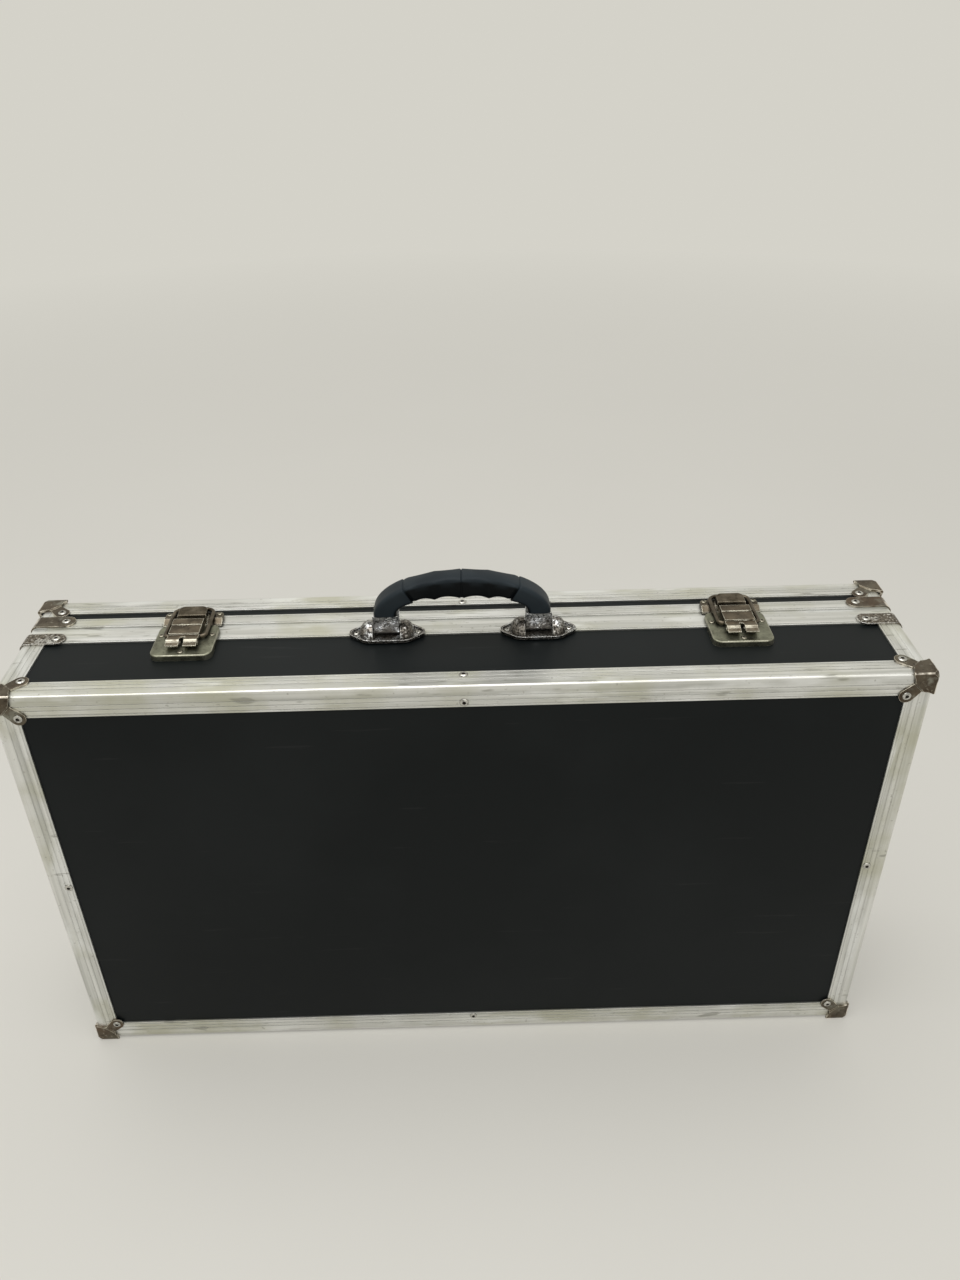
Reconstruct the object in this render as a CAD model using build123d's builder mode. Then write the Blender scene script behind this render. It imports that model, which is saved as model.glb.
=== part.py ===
from build123d import *

import os
from typing import NamedTuple

# A guitar pedal case standing on its hinge side. X runs along the case, -Y is the big face of the
# deep base shell, +Y the big face of the shallow lid, and Z points up to the handle and latches.
# The origin is on the floor under the middle of the case. All sizes are in millimetres.

# ---------------------------------------------------------------------------------------------
# Driving dimensions
# ---------------------------------------------------------------------------------------------

# The box, over the outside of its aluminium.
case_length = 700.0
case_height = 393.0
base_depth = 90.5
lid_depth = 45.5
seam_gap = 0.5

# Plywood panels and the lining on them.
panel_thickness = 6.0
carpet_thickness = 3.0
foam_thickness = 12.0
lining_clearance = 0.5

# Aluminium edge angle.
metal_wall = 1.5
angle_leg = 19.0
edge_radius = 1.5
corner_radius = 5.0
rib_groove_width = 0.7
rib_groove_depth = 0.3
rib_groove_pitch = 4.2
rib_groove_count = 3

# Aluminium rim extrusion round each mouth: tongue on the base, groove on the lid.
rim_leg = 17.5
rim_inner_leg = 12.0
base_mouth = 4.0
lid_mouth = 6.5
tongue_inset = 4.5
tongue_width = 2.0
tongue_height = 2.5
tongue_clearance = 0.5
lid_recess_width = 4.75
lid_recess_depth = 1.0
rim_groove_inset = 1.8

# Pressed steel corner caps: a proud knob with three riveted legs.
foot_height = 2.2
cap_reach = 17.0
cap_waist_far = 15.0
cap_waist_near = 8.2
cap_flank_bow = 0.7
cap_fold_round = 1.8
cap_corner_inset = 14.0
cap_corner_round = 21.4
cap_leg_thickness = 1.2
cap_leg_width = 12.0
cap_leg_centre = 18.8

# Steel straps round the rim corners.
brace_width = 15.0
brace_leg = 34.0
brace_thickness = 1.2
brace_gap = 0.2

# Pop rivets.
rivet_radius = 3.2
rivet_height = 1.1
edge_rivet_inset = 15.0
small_rivet_radius = 2.3
small_rivet_height = 0.9

# Handle.
handle_spread = 120.0
handle_from_seam = 16.5
handle_pin_height = 6.0
handle_pin_radius = 1.6
pin_fit = 0.05
bracket_length = 60.0
bracket_depth = 27.0
bracket_tip_radius = 6.0
bracket_belly = 12.0
bracket_sheet = 1.2
bracket_rim_width = 1.6
bracket_rim_height = 2.4
bracket_rivet_spread = 49.0
dome_length = 10.5
dome_height = 11.5
dome_flat = 4.5
dome_shoulder_reach = 9.0
dome_shoulder_height = 8.0
clip_width = 20.0
clip_side_clearance = 0.9
clip_sheet = 1.4
clip_eye_radius = 4.4
clip_bulge_radius = 6.8
clip_bulge_rise = 7.5
clip_rise = 15.8
clip_shoulder = 12.0
grip_depth = 18.0
grip_leg_width = 18.4
grip_crown = 48.4
grip_shoulder_rise = 41.0
grip_shoulder_half = 45.0
grip_underside = 30.4
grip_underside_half = 42.0
grip_underside_drop = 4.5
grip_inner_bow = 1.8
grip_inner_lift = 2.2
grip_edge_round = 5.0
finger_count = 4
finger_wave = 1.6

# Draw latches: a lever on the base pulls a wire bail over a hook on the lid.
latch_spread = 437.0
latch_plate_width = 48.0
latch_plate_depth = 44.0
latch_plate_from_seam = 1.5
latch_plate_height = 3.6
latch_plate_sheet = 1.2
latch_plate_round = 7.0
latch_rivet_spread = 40.0
latch_rivet_from_seam = 16.5
latch_middle_rivet_from_seam = 40.5
lever_pivot_from_seam = 4.6
lever_pivot_height = 6.4
lever_pin_radius = 1.25
lever_ear_radius = 2.3
lever_ear_thickness = 1.4
lever_width = 24.0
lever_sheet = 1.2
lever_top = 10.9
lever_back = 1.4
lever_step = 0.6
lever_first_step = 7.2
lever_second_step = 19.7
lever_side_gap = 0.4
bail_pivot_reach = 17.6
bail_pivot_height = 6.2
bail_wire_radius = 1.6
bail_bend = 6.5
bail_end_bend = 3.4
bail_side_gap = 2.2
bail_hook_gap = 0.3
barrel_reach = 27.3
barrel_radius = 2.7
lip_reach = 34.0
lip_rise = 7.0
lip_sheet = 1.0
lever_slot_reach = 23.0
lever_slot_width = 3.6
catch_plate_width = 47.0
catch_plate_from_seam = 1.25
catch_plate_depth = 16.0
catch_sheet = 1.3
catch_ramp_start = 3.0
catch_ramp_end = 8.0
catch_height = 4.2
catch_edge_round = 0.8
catch_corner_round = 3.5
hook_width = 23.0
hook_ramp_start = 2.4
hook_ramp_end = 4.6
hook_shoulder = 9.4
hook_top = 10.8
hook_back = 16.6
hook_corner_round = 5.0
hook_edge_round = 0.8
catch_rivet_spread = 40.6
catch_rivet_from_seam = 14.0

# Hinges let in to the rims under the case.
hinge_count = 3
hinge_spacing = 230.0
hinge_length = 60.0
hinge_axis_drop = 0.2
knuckle_radius = 1.9
knuckle_gap = 0.3
hinge_pin_radius = 0.9
hinge_leaf_width = 17.0
hinge_leaf_thickness = 1.0
hinge_middle_knuckle = 22.0
hinge_rivet_spacing = 21.0
hinge_rivet_from_seam = 10.0

# ---------------------------------------------------------------------------------------------
# Places that follow from them
# ---------------------------------------------------------------------------------------------

half_length = case_length / 2
half_height = case_height / 2
y_near = -(base_depth + lid_depth) / 2
y_seam = y_near + base_depth
y_far = y_seam + lid_depth
z_low = foot_height
z_high = z_low + case_height
z_middle = (z_low + z_high) / 2
panel_inside = metal_wall + panel_thickness
rim_inside = panel_inside + metal_wall
brace_from_seam = lid_depth - cap_leg_centre - (cap_leg_width + brace_width) / 2 - brace_gap
handle_places = (-handle_spread / 2, handle_spread / 2)
latch_places = (-latch_spread / 2, latch_spread / 2)
hinge_places = [
    (index - (hinge_count - 1) / 2) * hinge_spacing for index in range(hinge_count)
]
lowest = Align.MIN
centred = Align.CENTER


class Shell(NamedTuple):
    """One half of the case: its big face and mouth along Y, and the way in from the face."""

    name: str
    face_y: float
    mouth_y: float
    inward: int


class Side(NamedTuple):
    """One of the four sides of a shell: the middle of its outer face and its outward direction."""

    name: str
    x: float
    z: float
    outward: Vector
    half_run: float


base = Shell("base", y_near, y_seam - seam_gap / 2, 1)
lid = Shell("lid", y_far, y_seam + seam_gap / 2, -1)

sides = [
    Side("top", 0, z_high, Vector(0, 0, 1), half_length),
    Side("bottom", 0, z_low, Vector(0, 0, -1), half_length),
    Side("left", -half_length, z_middle, Vector(-1, 0, 0), half_height),
    Side("right", half_length, z_middle, Vector(1, 0, 0), half_height),
]


def plane_from(origin, x_dir, y_dir):
    """The plane through origin with the two given directions as its own x and y."""
    return Plane(origin=origin, x_dir=x_dir, z_dir=Vector(x_dir).cross(Vector(y_dir)))


def section_plane(side, y, run_in):
    """Across a side's run: x goes along Y into the shell, y goes from the outer face inwards."""
    return plane_from((side.x, y, side.z), (0, run_in, 0), -side.outward)


def write(part, name):
    """Labels a finished piece and writes its STEP file."""
    part.label = name
    export_step(part, f"parts/{name}.step")


# ---------------------------------------------------------------------------------------------
# Panels, linings
# ---------------------------------------------------------------------------------------------


def make_face_panel(shell):
    """The big plywood panel, let in behind the edge angles by the thickness of their wall."""
    with BuildPart() as panel:
        with BuildSketch(Plane.XZ.offset(-shell.face_y - shell.inward * metal_wall)):
            with Locations((0, z_middle)):
                RectangleRounded(
                    case_length - 2 * metal_wall,
                    case_height - 2 * metal_wall,
                    corner_radius - metal_wall,
                )
        extrude(amount=panel_thickness, dir=(0, shell.inward, 0))
    return panel.part


def make_wall(shell, side, mouth):
    """A plywood side wall from the face panel to the web of the rim extrusion."""
    start = shell.face_y + shell.inward * panel_inside
    end = shell.mouth_y - shell.inward * mouth
    upright = side.outward.X != 0
    with BuildPart() as wall:
        with BuildSketch(Plane.XZ.offset(-start)):
            with Locations((0, z_middle)):
                RectangleRounded(
                    case_length - 2 * metal_wall,
                    case_height - 2 * metal_wall,
                    corner_radius - metal_wall,
                )
            if upright:
                inset = half_length - metal_wall - panel_thickness / 2
                with Locations((side.outward.X * inset, z_middle)):
                    Rectangle(panel_thickness, case_height - 2 * panel_inside, mode=Mode.INTERSECT)
            else:
                inset = half_height - metal_wall - panel_thickness / 2
                with Locations((0, z_middle + side.outward.Z * inset)):
                    Rectangle(case_length, panel_thickness, mode=Mode.INTERSECT)
        extrude(amount=abs(end - start), dir=(0, shell.inward, 0))
    return wall.part


def make_lining(shell, thickness):
    """A sheet glued to the inside of the face panel, clear of the rim's inner leg."""
    border = rim_inside + lining_clearance
    start = shell.face_y + shell.inward * panel_inside
    with BuildPart() as lining:
        with BuildSketch(Plane.XZ.offset(-start)):
            with Locations((0, z_middle)):
                Rectangle(case_length - 2 * border, case_height - 2 * border)
        extrude(amount=thickness, dir=(0, shell.inward, 0))
    return lining.part


# ---------------------------------------------------------------------------------------------
# Aluminium: edge angles, corner angles and rims, all mitred
# ---------------------------------------------------------------------------------------------


def draw_angle(sketch, outer_radius):
    """An L with its corner at the sketch's origin, ribbed by grooves along both outer faces."""
    Rectangle(angle_leg, metal_wall, align=(lowest, lowest))
    Rectangle(metal_wall, angle_leg, align=(lowest, lowest))
    fillet(sketch.vertices().sort_by_distance((0, 0, 0))[0], outer_radius)
    if outer_radius > metal_wall:
        inner_corner = sketch.vertices().sort_by_distance((metal_wall, metal_wall, 0))[0]
        fillet(inner_corner, outer_radius - metal_wall)
    for index in range(rib_groove_count):
        reach = angle_leg - rim_groove_inset - index * rib_groove_pitch
        with Locations((reach, 0)):
            Rectangle(
                rib_groove_width, rib_groove_depth, align=(centred, lowest), mode=Mode.SUBTRACT
            )
        with Locations((0, reach)):
            Rectangle(
                rib_groove_depth, rib_groove_width, align=(lowest, centred), mode=Mode.SUBTRACT
            )


def mitre_outline(side, reach):
    """Points of the trapezium that a side keeps of the case's outline, cut at 45 degrees."""
    across = -side.outward
    along = Vector(abs(side.outward.Z), 0, abs(side.outward.X))
    middle = Vector(side.x, 0, side.z)
    corners = [
        middle - along * side.half_run,
        middle + along * side.half_run,
        middle + along * (side.half_run - reach) + across * reach,
        middle - along * (side.half_run - reach) + across * reach,
    ]
    return [(corner.X, corner.Z) for corner in corners]


def make_edge_angle(shell, side):
    """The angle along one edge of the big face, mitred into its three neighbours at each end."""
    reach = angle_leg + metal_wall
    along = Vector(abs(side.outward.Z), 0, abs(side.outward.X))
    edge = Vector(side.x, shell.face_y, side.z)
    with BuildPart() as angle:
        with BuildSketch(section_plane(side, shell.face_y, shell.inward)) as section:
            draw_angle(section, edge_radius)
        extrude(amount=side.half_run, both=True)
        with BuildSketch(Plane.XZ):
            with Locations((0, z_middle)):
                RectangleRounded(case_length, case_height, corner_radius)
            with BuildLine():
                Polyline(*mitre_outline(side, reach), close=True)
            make_face(mode=Mode.INTERSECT)
        extrude(amount=case_length, both=True, mode=Mode.INTERSECT)
        with BuildSketch(plane_from(edge, along, (0, shell.inward, 0))):
            with BuildLine():
                Polyline(
                    (-side.half_run, 0),
                    (side.half_run, 0),
                    (side.half_run - reach, reach),
                    (reach - side.half_run, reach),
                    close=True,
                )
            make_face()
        extrude(amount=case_length, both=True, mode=Mode.INTERSECT)
    return angle.part


def make_corner_angles(shell):
    """Four angles along Y at the corners of a shell, from the face's mitre to the rim's leg."""
    end = shell.mouth_y - shell.inward * rim_leg
    length = abs(end - shell.face_y)
    corner = Vector(half_length, shell.face_y, z_high)
    with BuildPart() as angles:
        with BuildSketch(plane_from(corner, (-1, 0, 0), (0, 0, -1))) as section:
            draw_angle(section, corner_radius)
        extrude(amount=length, dir=(0, shell.inward, 0))
        for leg_direction in ((-1, 0, 0), (0, 0, -1)):
            with BuildSketch(plane_from(corner, leg_direction, (0, shell.inward, 0))):
                with BuildLine():
                    Polyline(
                        (0, 0), (angle_leg, angle_leg), (angle_leg, length), (0, length), close=True
                    )
                make_face()
            extrude(amount=case_length, both=True, mode=Mode.INTERSECT)
        mirror(about=Plane.YZ)
        mirror(about=Plane.XY.offset(z_middle))
    return angles.part


def make_rim(shell, side):
    """The extrusion round a mouth: legs outside and inside the plywood, joined by a web."""
    mouth = base_mouth if shell is base else lid_mouth
    tongue_middle = tongue_inset + tongue_width / 2
    with BuildPart() as rim:
        with BuildSketch(section_plane(side, shell.mouth_y, -shell.inward)):
            Rectangle(rim_leg, metal_wall, align=(lowest, lowest))
            Rectangle(mouth, rim_inside, align=(lowest, lowest))
            with Locations((0, panel_inside)):
                Rectangle(rim_inner_leg, metal_wall, align=(lowest, lowest))
            if shell is base:
                with Locations((-tongue_height / 2, tongue_middle)):
                    Rectangle(tongue_height, tongue_width)
                groove_places = [rim_leg - rim_groove_inset]
            else:
                depth = tongue_height - seam_gap + tongue_clearance
                with Locations((depth / 2, tongue_middle)):
                    Rectangle(depth, tongue_width + 2 * tongue_clearance, mode=Mode.SUBTRACT)
                Rectangle(
                    lid_recess_width,
                    lid_recess_depth,
                    align=(lowest, lowest),
                    mode=Mode.SUBTRACT,
                )
                groove_places = [rim_leg - rim_groove_inset, lid_recess_width + rim_groove_inset]
            for place in groove_places:
                with Locations((place, 0)):
                    Rectangle(
                        rib_groove_width,
                        rib_groove_depth,
                        align=(centred, lowest),
                        mode=Mode.SUBTRACT,
                    )
        extrude(amount=side.half_run, both=True)
        with BuildSketch(Plane.XZ):
            with Locations((0, z_middle)):
                RectangleRounded(case_length, case_height, corner_radius)
            with BuildLine():
                Polyline(*mitre_outline(side, rim_inside + metal_wall), close=True)
            make_face(mode=Mode.INTERSECT)
        extrude(amount=case_length, both=True, mode=Mode.INTERSECT)
        if side.name == "bottom":
            for x in hinge_places:
                with BuildSketch(Plane.YZ.offset(x - hinge_length / 2 - knuckle_gap)):
                    with Locations((y_seam, z_low - hinge_axis_drop)):
                        Circle(knuckle_radius + knuckle_gap)
                extrude(amount=hinge_length + 2 * knuckle_gap, mode=Mode.SUBTRACT)
    return rim.part


# ---------------------------------------------------------------------------------------------
# Corner caps, braces and rivets
# ---------------------------------------------------------------------------------------------


def draw_cap_body():
    """A cap's proud part on one face: from both folds to its curved flanks and slanting waist."""
    flank = (Vector(cap_reach, 0) + Vector(cap_waist_far, cap_waist_near)) / 2
    bow = flank - Vector(cap_flank_bow, 0)
    with BuildSketch(Plane.XY, mode=Mode.PRIVATE) as outline:
        with BuildLine():
            Polyline((cap_reach, 0), (cap_reach, -foot_height), (-foot_height, -foot_height))
            Polyline((-foot_height, -foot_height), (-foot_height, cap_reach), (0, cap_reach))
            ThreePointArc((0, cap_reach), (bow.Y, bow.X), (cap_waist_near, cap_waist_far))
            Line((cap_waist_near, cap_waist_far), (cap_waist_far, cap_waist_near))
            ThreePointArc((cap_waist_far, cap_waist_near), (bow.X, bow.Y), (cap_reach, 0))
        make_face()
    add(outline.sketch)


def draw_cap_leg():
    """A cap's leg on one face: it widens from the waist to a round end about its rivet."""
    across = cap_leg_width / 2 * 0.5**0.5
    tip = cap_leg_centre + across
    side_end = cap_leg_centre - across
    with BuildSketch(Plane.XY, mode=Mode.PRIVATE) as outline:
        with BuildLine():
            Polyline((0, 0), (cap_waist_far, cap_waist_near), (tip, side_end))
            ThreePointArc((tip, side_end), (tip, tip), (side_end, tip))
            Polyline((side_end, tip), (cap_waist_near, cap_waist_far), (0, 0))
        make_face()
    add(outline.sketch)


def make_corner_caps(shell):
    """Four caps: a folded body with a rounded corner, and a leg down each face's diagonal."""
    inward = shell.inward
    corner = Vector(half_length, shell.face_y, z_high)
    outermost = corner + Vector(foot_height, -inward * foot_height, foot_height)
    middle = outermost + Vector(-cap_corner_inset, inward * cap_corner_inset, -cap_corner_inset)
    waist_length = (cap_waist_far - cap_waist_near) * 2**0.5
    step = foot_height - cap_leg_thickness
    faces = [
        ((-1, 0, 0), (0, inward, 0), (0, 0, 1)),
        ((-1, 0, 0), (0, 0, -1), (0, -inward, 0)),
        ((0, inward, 0), (0, 0, -1), (1, 0, 0)),
    ]
    with BuildPart() as caps:
        for x_dir, y_dir, outward in faces:
            with BuildSketch(plane_from(corner, x_dir, y_dir)):
                draw_cap_body()
            extrude(amount=foot_height, dir=outward)
        fillet(caps.edges().sort_by_distance(outermost)[:3], cap_fold_round)
        waists = caps.edges().filter_by(lambda edge: abs(edge.length - waist_length) < step / 100)
        chamfer(waists.sort_by_distance(outermost)[:3], step)
        with Locations(middle):
            Sphere(cap_corner_round, mode=Mode.INTERSECT)
        for x_dir, y_dir, outward in faces:
            with BuildSketch(plane_from(corner, x_dir, y_dir)):
                draw_cap_leg()
            extrude(amount=cap_leg_thickness, dir=outward)
        mirror(about=Plane.YZ)
        mirror(about=Plane.XY.offset(z_middle))
    return caps.part


def make_braces(shell):
    """Four straps bent round the corners of a rim, with round ends on both faces."""
    inward = shell.inward
    y = y_seam - inward * brace_from_seam
    corner = Vector(half_length, y, z_high)
    across_x, across_z = (-1, 0, 0), (0, 0, -1)
    span = brace_leg + brace_thickness
    with BuildPart() as braces:
        with BuildSketch(plane_from(corner, across_x, across_z)) as bend:
            with Locations((-brace_thickness, -brace_thickness)):
                Rectangle(span, brace_thickness, align=(lowest, lowest))
                Rectangle(brace_thickness, span, align=(lowest, lowest))
            outer_corner = bend.vertices().sort_by_distance((-brace_thickness,) * 2 + (0,))[0]
            fillet(outer_corner, corner_radius + brace_thickness)
            fillet(bend.vertices().sort_by_distance((0, 0, 0))[0], corner_radius)
        extrude(amount=brace_width / 2, both=True)
        for leg_direction in (across_x, across_z):
            with BuildSketch(plane_from(corner, leg_direction, (0, 1, 0))):
                with Locations((brace_leg - brace_width / 2, 0)):
                    Circle(brace_width / 2)
                    Rectangle(case_length, brace_width, align=(Align.MAX, centred))
            extrude(amount=case_length, both=True, mode=Mode.INTERSECT)
        mirror(about=Plane.YZ)
        mirror(about=Plane.XY.offset(z_middle))
    return braces.part


def make_rivets(seats, radius, height):
    """Domed rivet heads: one solid at each seat, a point on a surface and its outward direction."""
    with BuildPart() as head:
        with BuildSketch(Plane.XZ):
            with BuildLine():
                Line((0, 0), (radius, 0))
                Line((radius, 0), (radius, height / 4))
                Line((radius, height / 4), (radius / 2, height))
                Line((radius / 2, height), (0, height))
                Line((0, height), (0, 0))
            make_face()
        revolve(axis=Axis.Z)
    with BuildPart() as rivets:
        with Locations(*[Plane(origin=point, z_dir=outward).location for point, outward in seats]):
            add(head.part)
    return rivets.part


def mirrored_seats(seats):
    """The given seats and their mirror images across the middle of the length and the height."""
    spread = []
    for point, outward in seats:
        for x_sign in (1, -1):
            for z_sign in (1, -1):
                place = (
                    x_sign * point[0],
                    point[1],
                    z_middle + z_sign * (point[2] - z_middle),
                )
                spread.append((place, (x_sign * outward[0], outward[1], z_sign * outward[2])))
    return spread


def shell_rivet_seats(shell):
    """Seats of the rivets that hold a shell's caps, braces and edge angles."""
    inward = shell.inward
    near = shell.face_y + inward * cap_leg_centre
    face = shell.face_y - inward * cap_leg_thickness
    side = half_length + cap_leg_thickness
    top = z_high + cap_leg_thickness
    x_leg = half_length - cap_leg_centre
    z_leg = z_high - cap_leg_centre
    brace_y = y_seam - inward * brace_from_seam
    brace_hole = brace_leg - brace_width / 2
    seats = mirrored_seats(
        [
            ((x_leg, near, top), (0, 0, 1)),
            ((x_leg, face, z_leg), (0, -inward, 0)),
            ((side, near, z_leg), (1, 0, 0)),
            ((half_length - brace_hole, brace_y, z_high + brace_thickness), (0, 0, 1)),
            ((half_length + brace_thickness, brace_y, z_high - brace_hole), (1, 0, 0)),
        ]
    )
    for edge in sides:
        out = edge.outward
        middle = Vector(edge.x, shell.face_y, edge.z)
        on_face = middle - out * edge_rivet_inset
        on_side = middle + Vector(0, inward * edge_rivet_inset, 0)
        seats.append((tuple(on_face), (0, -inward, 0)))
        seats.append((tuple(on_side), tuple(out)))
    return seats


# ---------------------------------------------------------------------------------------------
# Handle
# ---------------------------------------------------------------------------------------------

handle_y = y_seam - handle_from_seam
handle_pin_z = z_high + handle_pin_height
gap_half = clip_width / 2 + clip_side_clearance
handle_pin_half = gap_half + dome_length / 2


def draw_bracket(x, shrink):
    """The pointed oval of a handle bracket, drawn in by shrink all round."""
    belly = bracket_depth / 2 - shrink
    tip = bracket_tip_radius - shrink
    tip_centre = bracket_length / 2 - bracket_tip_radius
    with BuildSketch(Plane.XY, mode=Mode.PRIVATE) as outline:
        with Locations((-bracket_belly, 0), (bracket_belly, 0)):
            Circle(belly)
        with Locations((-tip_centre, 0), (tip_centre, 0)):
            Circle(tip)
        make_hull()
    with Locations((x, handle_y)):
        add(outline.sketch)


def make_bracket(x):
    """A pressed bracket: a rimmed plate with two domes that hold the pin between them."""
    dome_reach = gap_half + dome_length
    with BuildPart() as bracket:
        with BuildSketch(Plane.XY.offset(z_high)):
            draw_bracket(x, 0)
        extrude(amount=bracket_rim_height)
        with BuildSketch(Plane.XY.offset(z_high + bracket_sheet)):
            draw_bracket(x, bracket_rim_width)
        extrude(amount=bracket_rim_height, mode=Mode.SUBTRACT)
        for side in (1, -1):
            foot = (x + side * gap_half, z_high)
            tip = (x + side * dome_reach, z_high)
            shoulder = (x + side * (gap_half + dome_shoulder_reach), z_high + dome_shoulder_height)
            crown = (x + side * (gap_half + dome_flat), z_high + dome_height)
            with BuildSketch(Plane.XZ.offset(-handle_y)):
                with BuildLine():
                    Line(foot, tip)
                    ThreePointArc(tip, shoulder, crown)
                    Polyline(crown, (foot[0], crown[1]), foot)
                make_face()
            revolve(axis=Axis((x, handle_y, z_high), (1, 0, 0)))
        with BuildSketch(Plane.XY.offset(z_high)):
            with Locations((x, handle_y)):
                Rectangle(2 * bracket_length, 2 * bracket_depth)
        extrude(amount=-dome_height * 2, mode=Mode.SUBTRACT)
        with BuildSketch(Plane.YZ.offset(x - handle_pin_half)):
            with Locations((handle_y, handle_pin_z)):
                Circle(handle_pin_radius)
        extrude(amount=2 * handle_pin_half, mode=Mode.SUBTRACT)
    return bracket.part


def make_handle_pins():
    """The two pins on the handle's axis, one across the gap between each bracket's domes."""
    with BuildPart() as pins:
        for x in handle_places:
            with BuildSketch(Plane.YZ.offset(x - handle_pin_half)):
                with Locations((handle_y, handle_pin_z)):
                    Circle(handle_pin_radius)
            extrude(amount=2 * handle_pin_half)
    return pins.part


def draw_eye(shrink, top):
    """The section of a grip end: a round eye below, bulging cheeks above it, then sides to top."""
    eye = clip_eye_radius - shrink
    half = grip_depth / 2 - shrink
    with BuildSketch(Plane.XY, mode=Mode.PRIVATE) as outline:
        Circle(eye)
        with Locations((0, clip_bulge_rise)):
            Circle(clip_bulge_radius - shrink)
        with Locations((0, (clip_shoulder + top) / 2)):
            Rectangle(2 * half, top - clip_shoulder)
        make_hull()
    with Locations((handle_y, handle_pin_z)):
        add(outline.sketch)


def make_clip(x):
    """A chromed strap folded round one end of the grip and its pin."""
    with BuildPart() as clip:
        with BuildSketch(Plane.YZ.offset(x - clip_width / 2)):
            draw_eye(0, clip_rise)
        extrude(amount=clip_width)
        with BuildSketch(Plane.YZ.offset(x - clip_width / 2)):
            draw_eye(clip_sheet, clip_rise + clip_sheet)
        extrude(amount=clip_width, mode=Mode.SUBTRACT)
    return clip.part


def make_grip():
    """The moulded grip: an arch with a crowned top, a fingered underside and eyes on its ends."""
    leg_outer = handle_spread / 2 + grip_leg_width / 2
    leg_inner = handle_spread / 2 - grip_leg_width / 2
    foot = handle_pin_z + clip_rise
    crown = handle_pin_z + grip_crown
    shoulder = (grip_shoulder_half, handle_pin_z + grip_shoulder_rise)
    under = handle_pin_z + grip_underside
    bend = (grip_underside_half, under - grip_underside_drop)
    finger_span = 2 * grip_underside_half / finger_count
    with BuildPart() as grip:
        with BuildSketch(Plane.XZ.offset(-handle_y)):
            with BuildLine():
                top = ThreePointArc((-shoulder[0], shoulder[1]), (0, crown), shoulder)
                TangentArc(shoulder, (leg_outer, foot), tangent=top % 1)
                TangentArc((-shoulder[0], shoulder[1]), (-leg_outer, foot), tangent=-(top % 0))
                for side in (1, -1):
                    Line((side * leg_outer, foot), (side * leg_inner, foot))
                    ThreePointArc(
                        (side * leg_inner, foot),
                        (
                            side * (leg_inner - grip_inner_bow),
                            (foot + bend[1]) / 2 + grip_inner_lift,
                        ),
                        (side * bend[0], bend[1]),
                    )
                for index in range(finger_count):
                    start = -grip_underside_half + index * finger_span
                    end = start + finger_span
                    middle = (start + end) / 2
                    ThreePointArc(
                        (start, underside_height(start)),
                        (middle, underside_height(middle) + finger_wave),
                        (end, underside_height(end)),
                    )
            make_face()
        extrude(amount=grip_depth / 2, both=True)
        outer_arcs = grip.edges().filter_by(GeomType.CIRCLE).sort_by(SortBy.LENGTH)[-6:]
        fillet(outer_arcs, grip_edge_round)
        for x in handle_places:
            with BuildSketch(Plane.YZ.offset(x - grip_leg_width / 2)):
                draw_eye(clip_sheet, clip_rise)
                with Locations((handle_y, handle_pin_z)):
                    Circle(handle_pin_radius + pin_fit, mode=Mode.SUBTRACT)
            extrude(amount=grip_leg_width)
    return grip.part


def underside_height(x):
    """Height of the line that carries the finger waves: level in the middle, lower at the ends."""
    share = abs(x) / grip_underside_half
    return handle_pin_z + grip_underside - grip_underside_drop * share**2


# ---------------------------------------------------------------------------------------------
# Latches
# ---------------------------------------------------------------------------------------------

lever_pivot_y = y_seam - lever_pivot_from_seam
lever_pivot_z = z_high + lever_pivot_height
bail_pivot_y = lever_pivot_y - bail_pivot_reach
bail_z = z_high + bail_pivot_height
bail_bar_y = y_seam + hook_back + bail_hook_gap + bail_wire_radius
lever_under = lever_top - lever_step - lever_sheet
barrel_height = lever_top - lever_step - barrel_radius
cheek_inside = lever_width / 2 - lever_sheet
ear_outside = cheek_inside - lever_side_gap
bail_half = lever_width / 2 + bail_side_gap + bail_wire_radius
panel_top = z_high - metal_wall
rim_edge_y = base.mouth_y - rim_leg


def make_latch_plate(x):
    """A shallow pressed pan with a skirt down to the panel, and two ears for the lever's pin."""
    far = y_seam - latch_plate_from_seam
    middle = far - latch_plate_depth / 2
    top = z_high + latch_plate_height
    with BuildPart() as plate:
        with BuildSketch(Plane.XY.offset(top)):
            with Locations((x, middle)):
                RectangleRounded(latch_plate_width, latch_plate_depth, latch_plate_round)
        extrude(amount=panel_top - top)
        fillet(plate.faces().sort_by(Axis.Z)[-1].edges(), latch_plate_sheet)
        with BuildSketch(Plane.XY.offset(top - latch_plate_sheet)):
            with Locations((x, middle)):
                RectangleRounded(
                    latch_plate_width - 2 * latch_plate_sheet,
                    latch_plate_depth - 2 * latch_plate_sheet,
                    latch_plate_round - latch_plate_sheet,
                )
        extrude(amount=panel_top - top, mode=Mode.SUBTRACT)
        with BuildSketch(Plane.XY.offset(z_high)):
            with Locations((x, rim_edge_y)):
                Rectangle(2 * latch_plate_width, latch_plate_depth, align=(centred, lowest))
        extrude(amount=panel_top - top, mode=Mode.SUBTRACT)
        for side in (-1, 1):
            ear_start = x + side * (ear_outside - lever_ear_thickness / 2) - lever_ear_thickness / 2
            with BuildSketch(Plane.YZ.offset(ear_start)):
                with Locations((lever_pivot_y, lever_pivot_z)):
                    Circle(lever_ear_radius)
                    Rectangle(
                        2 * lever_ear_radius,
                        lever_pivot_height - latch_plate_height + latch_plate_sheet / 2,
                        align=(centred, Align.MAX),
                    )
                    Circle(lever_pin_radius, mode=Mode.SUBTRACT)
            extrude(amount=lever_ear_thickness)
    return plate.part


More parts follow.
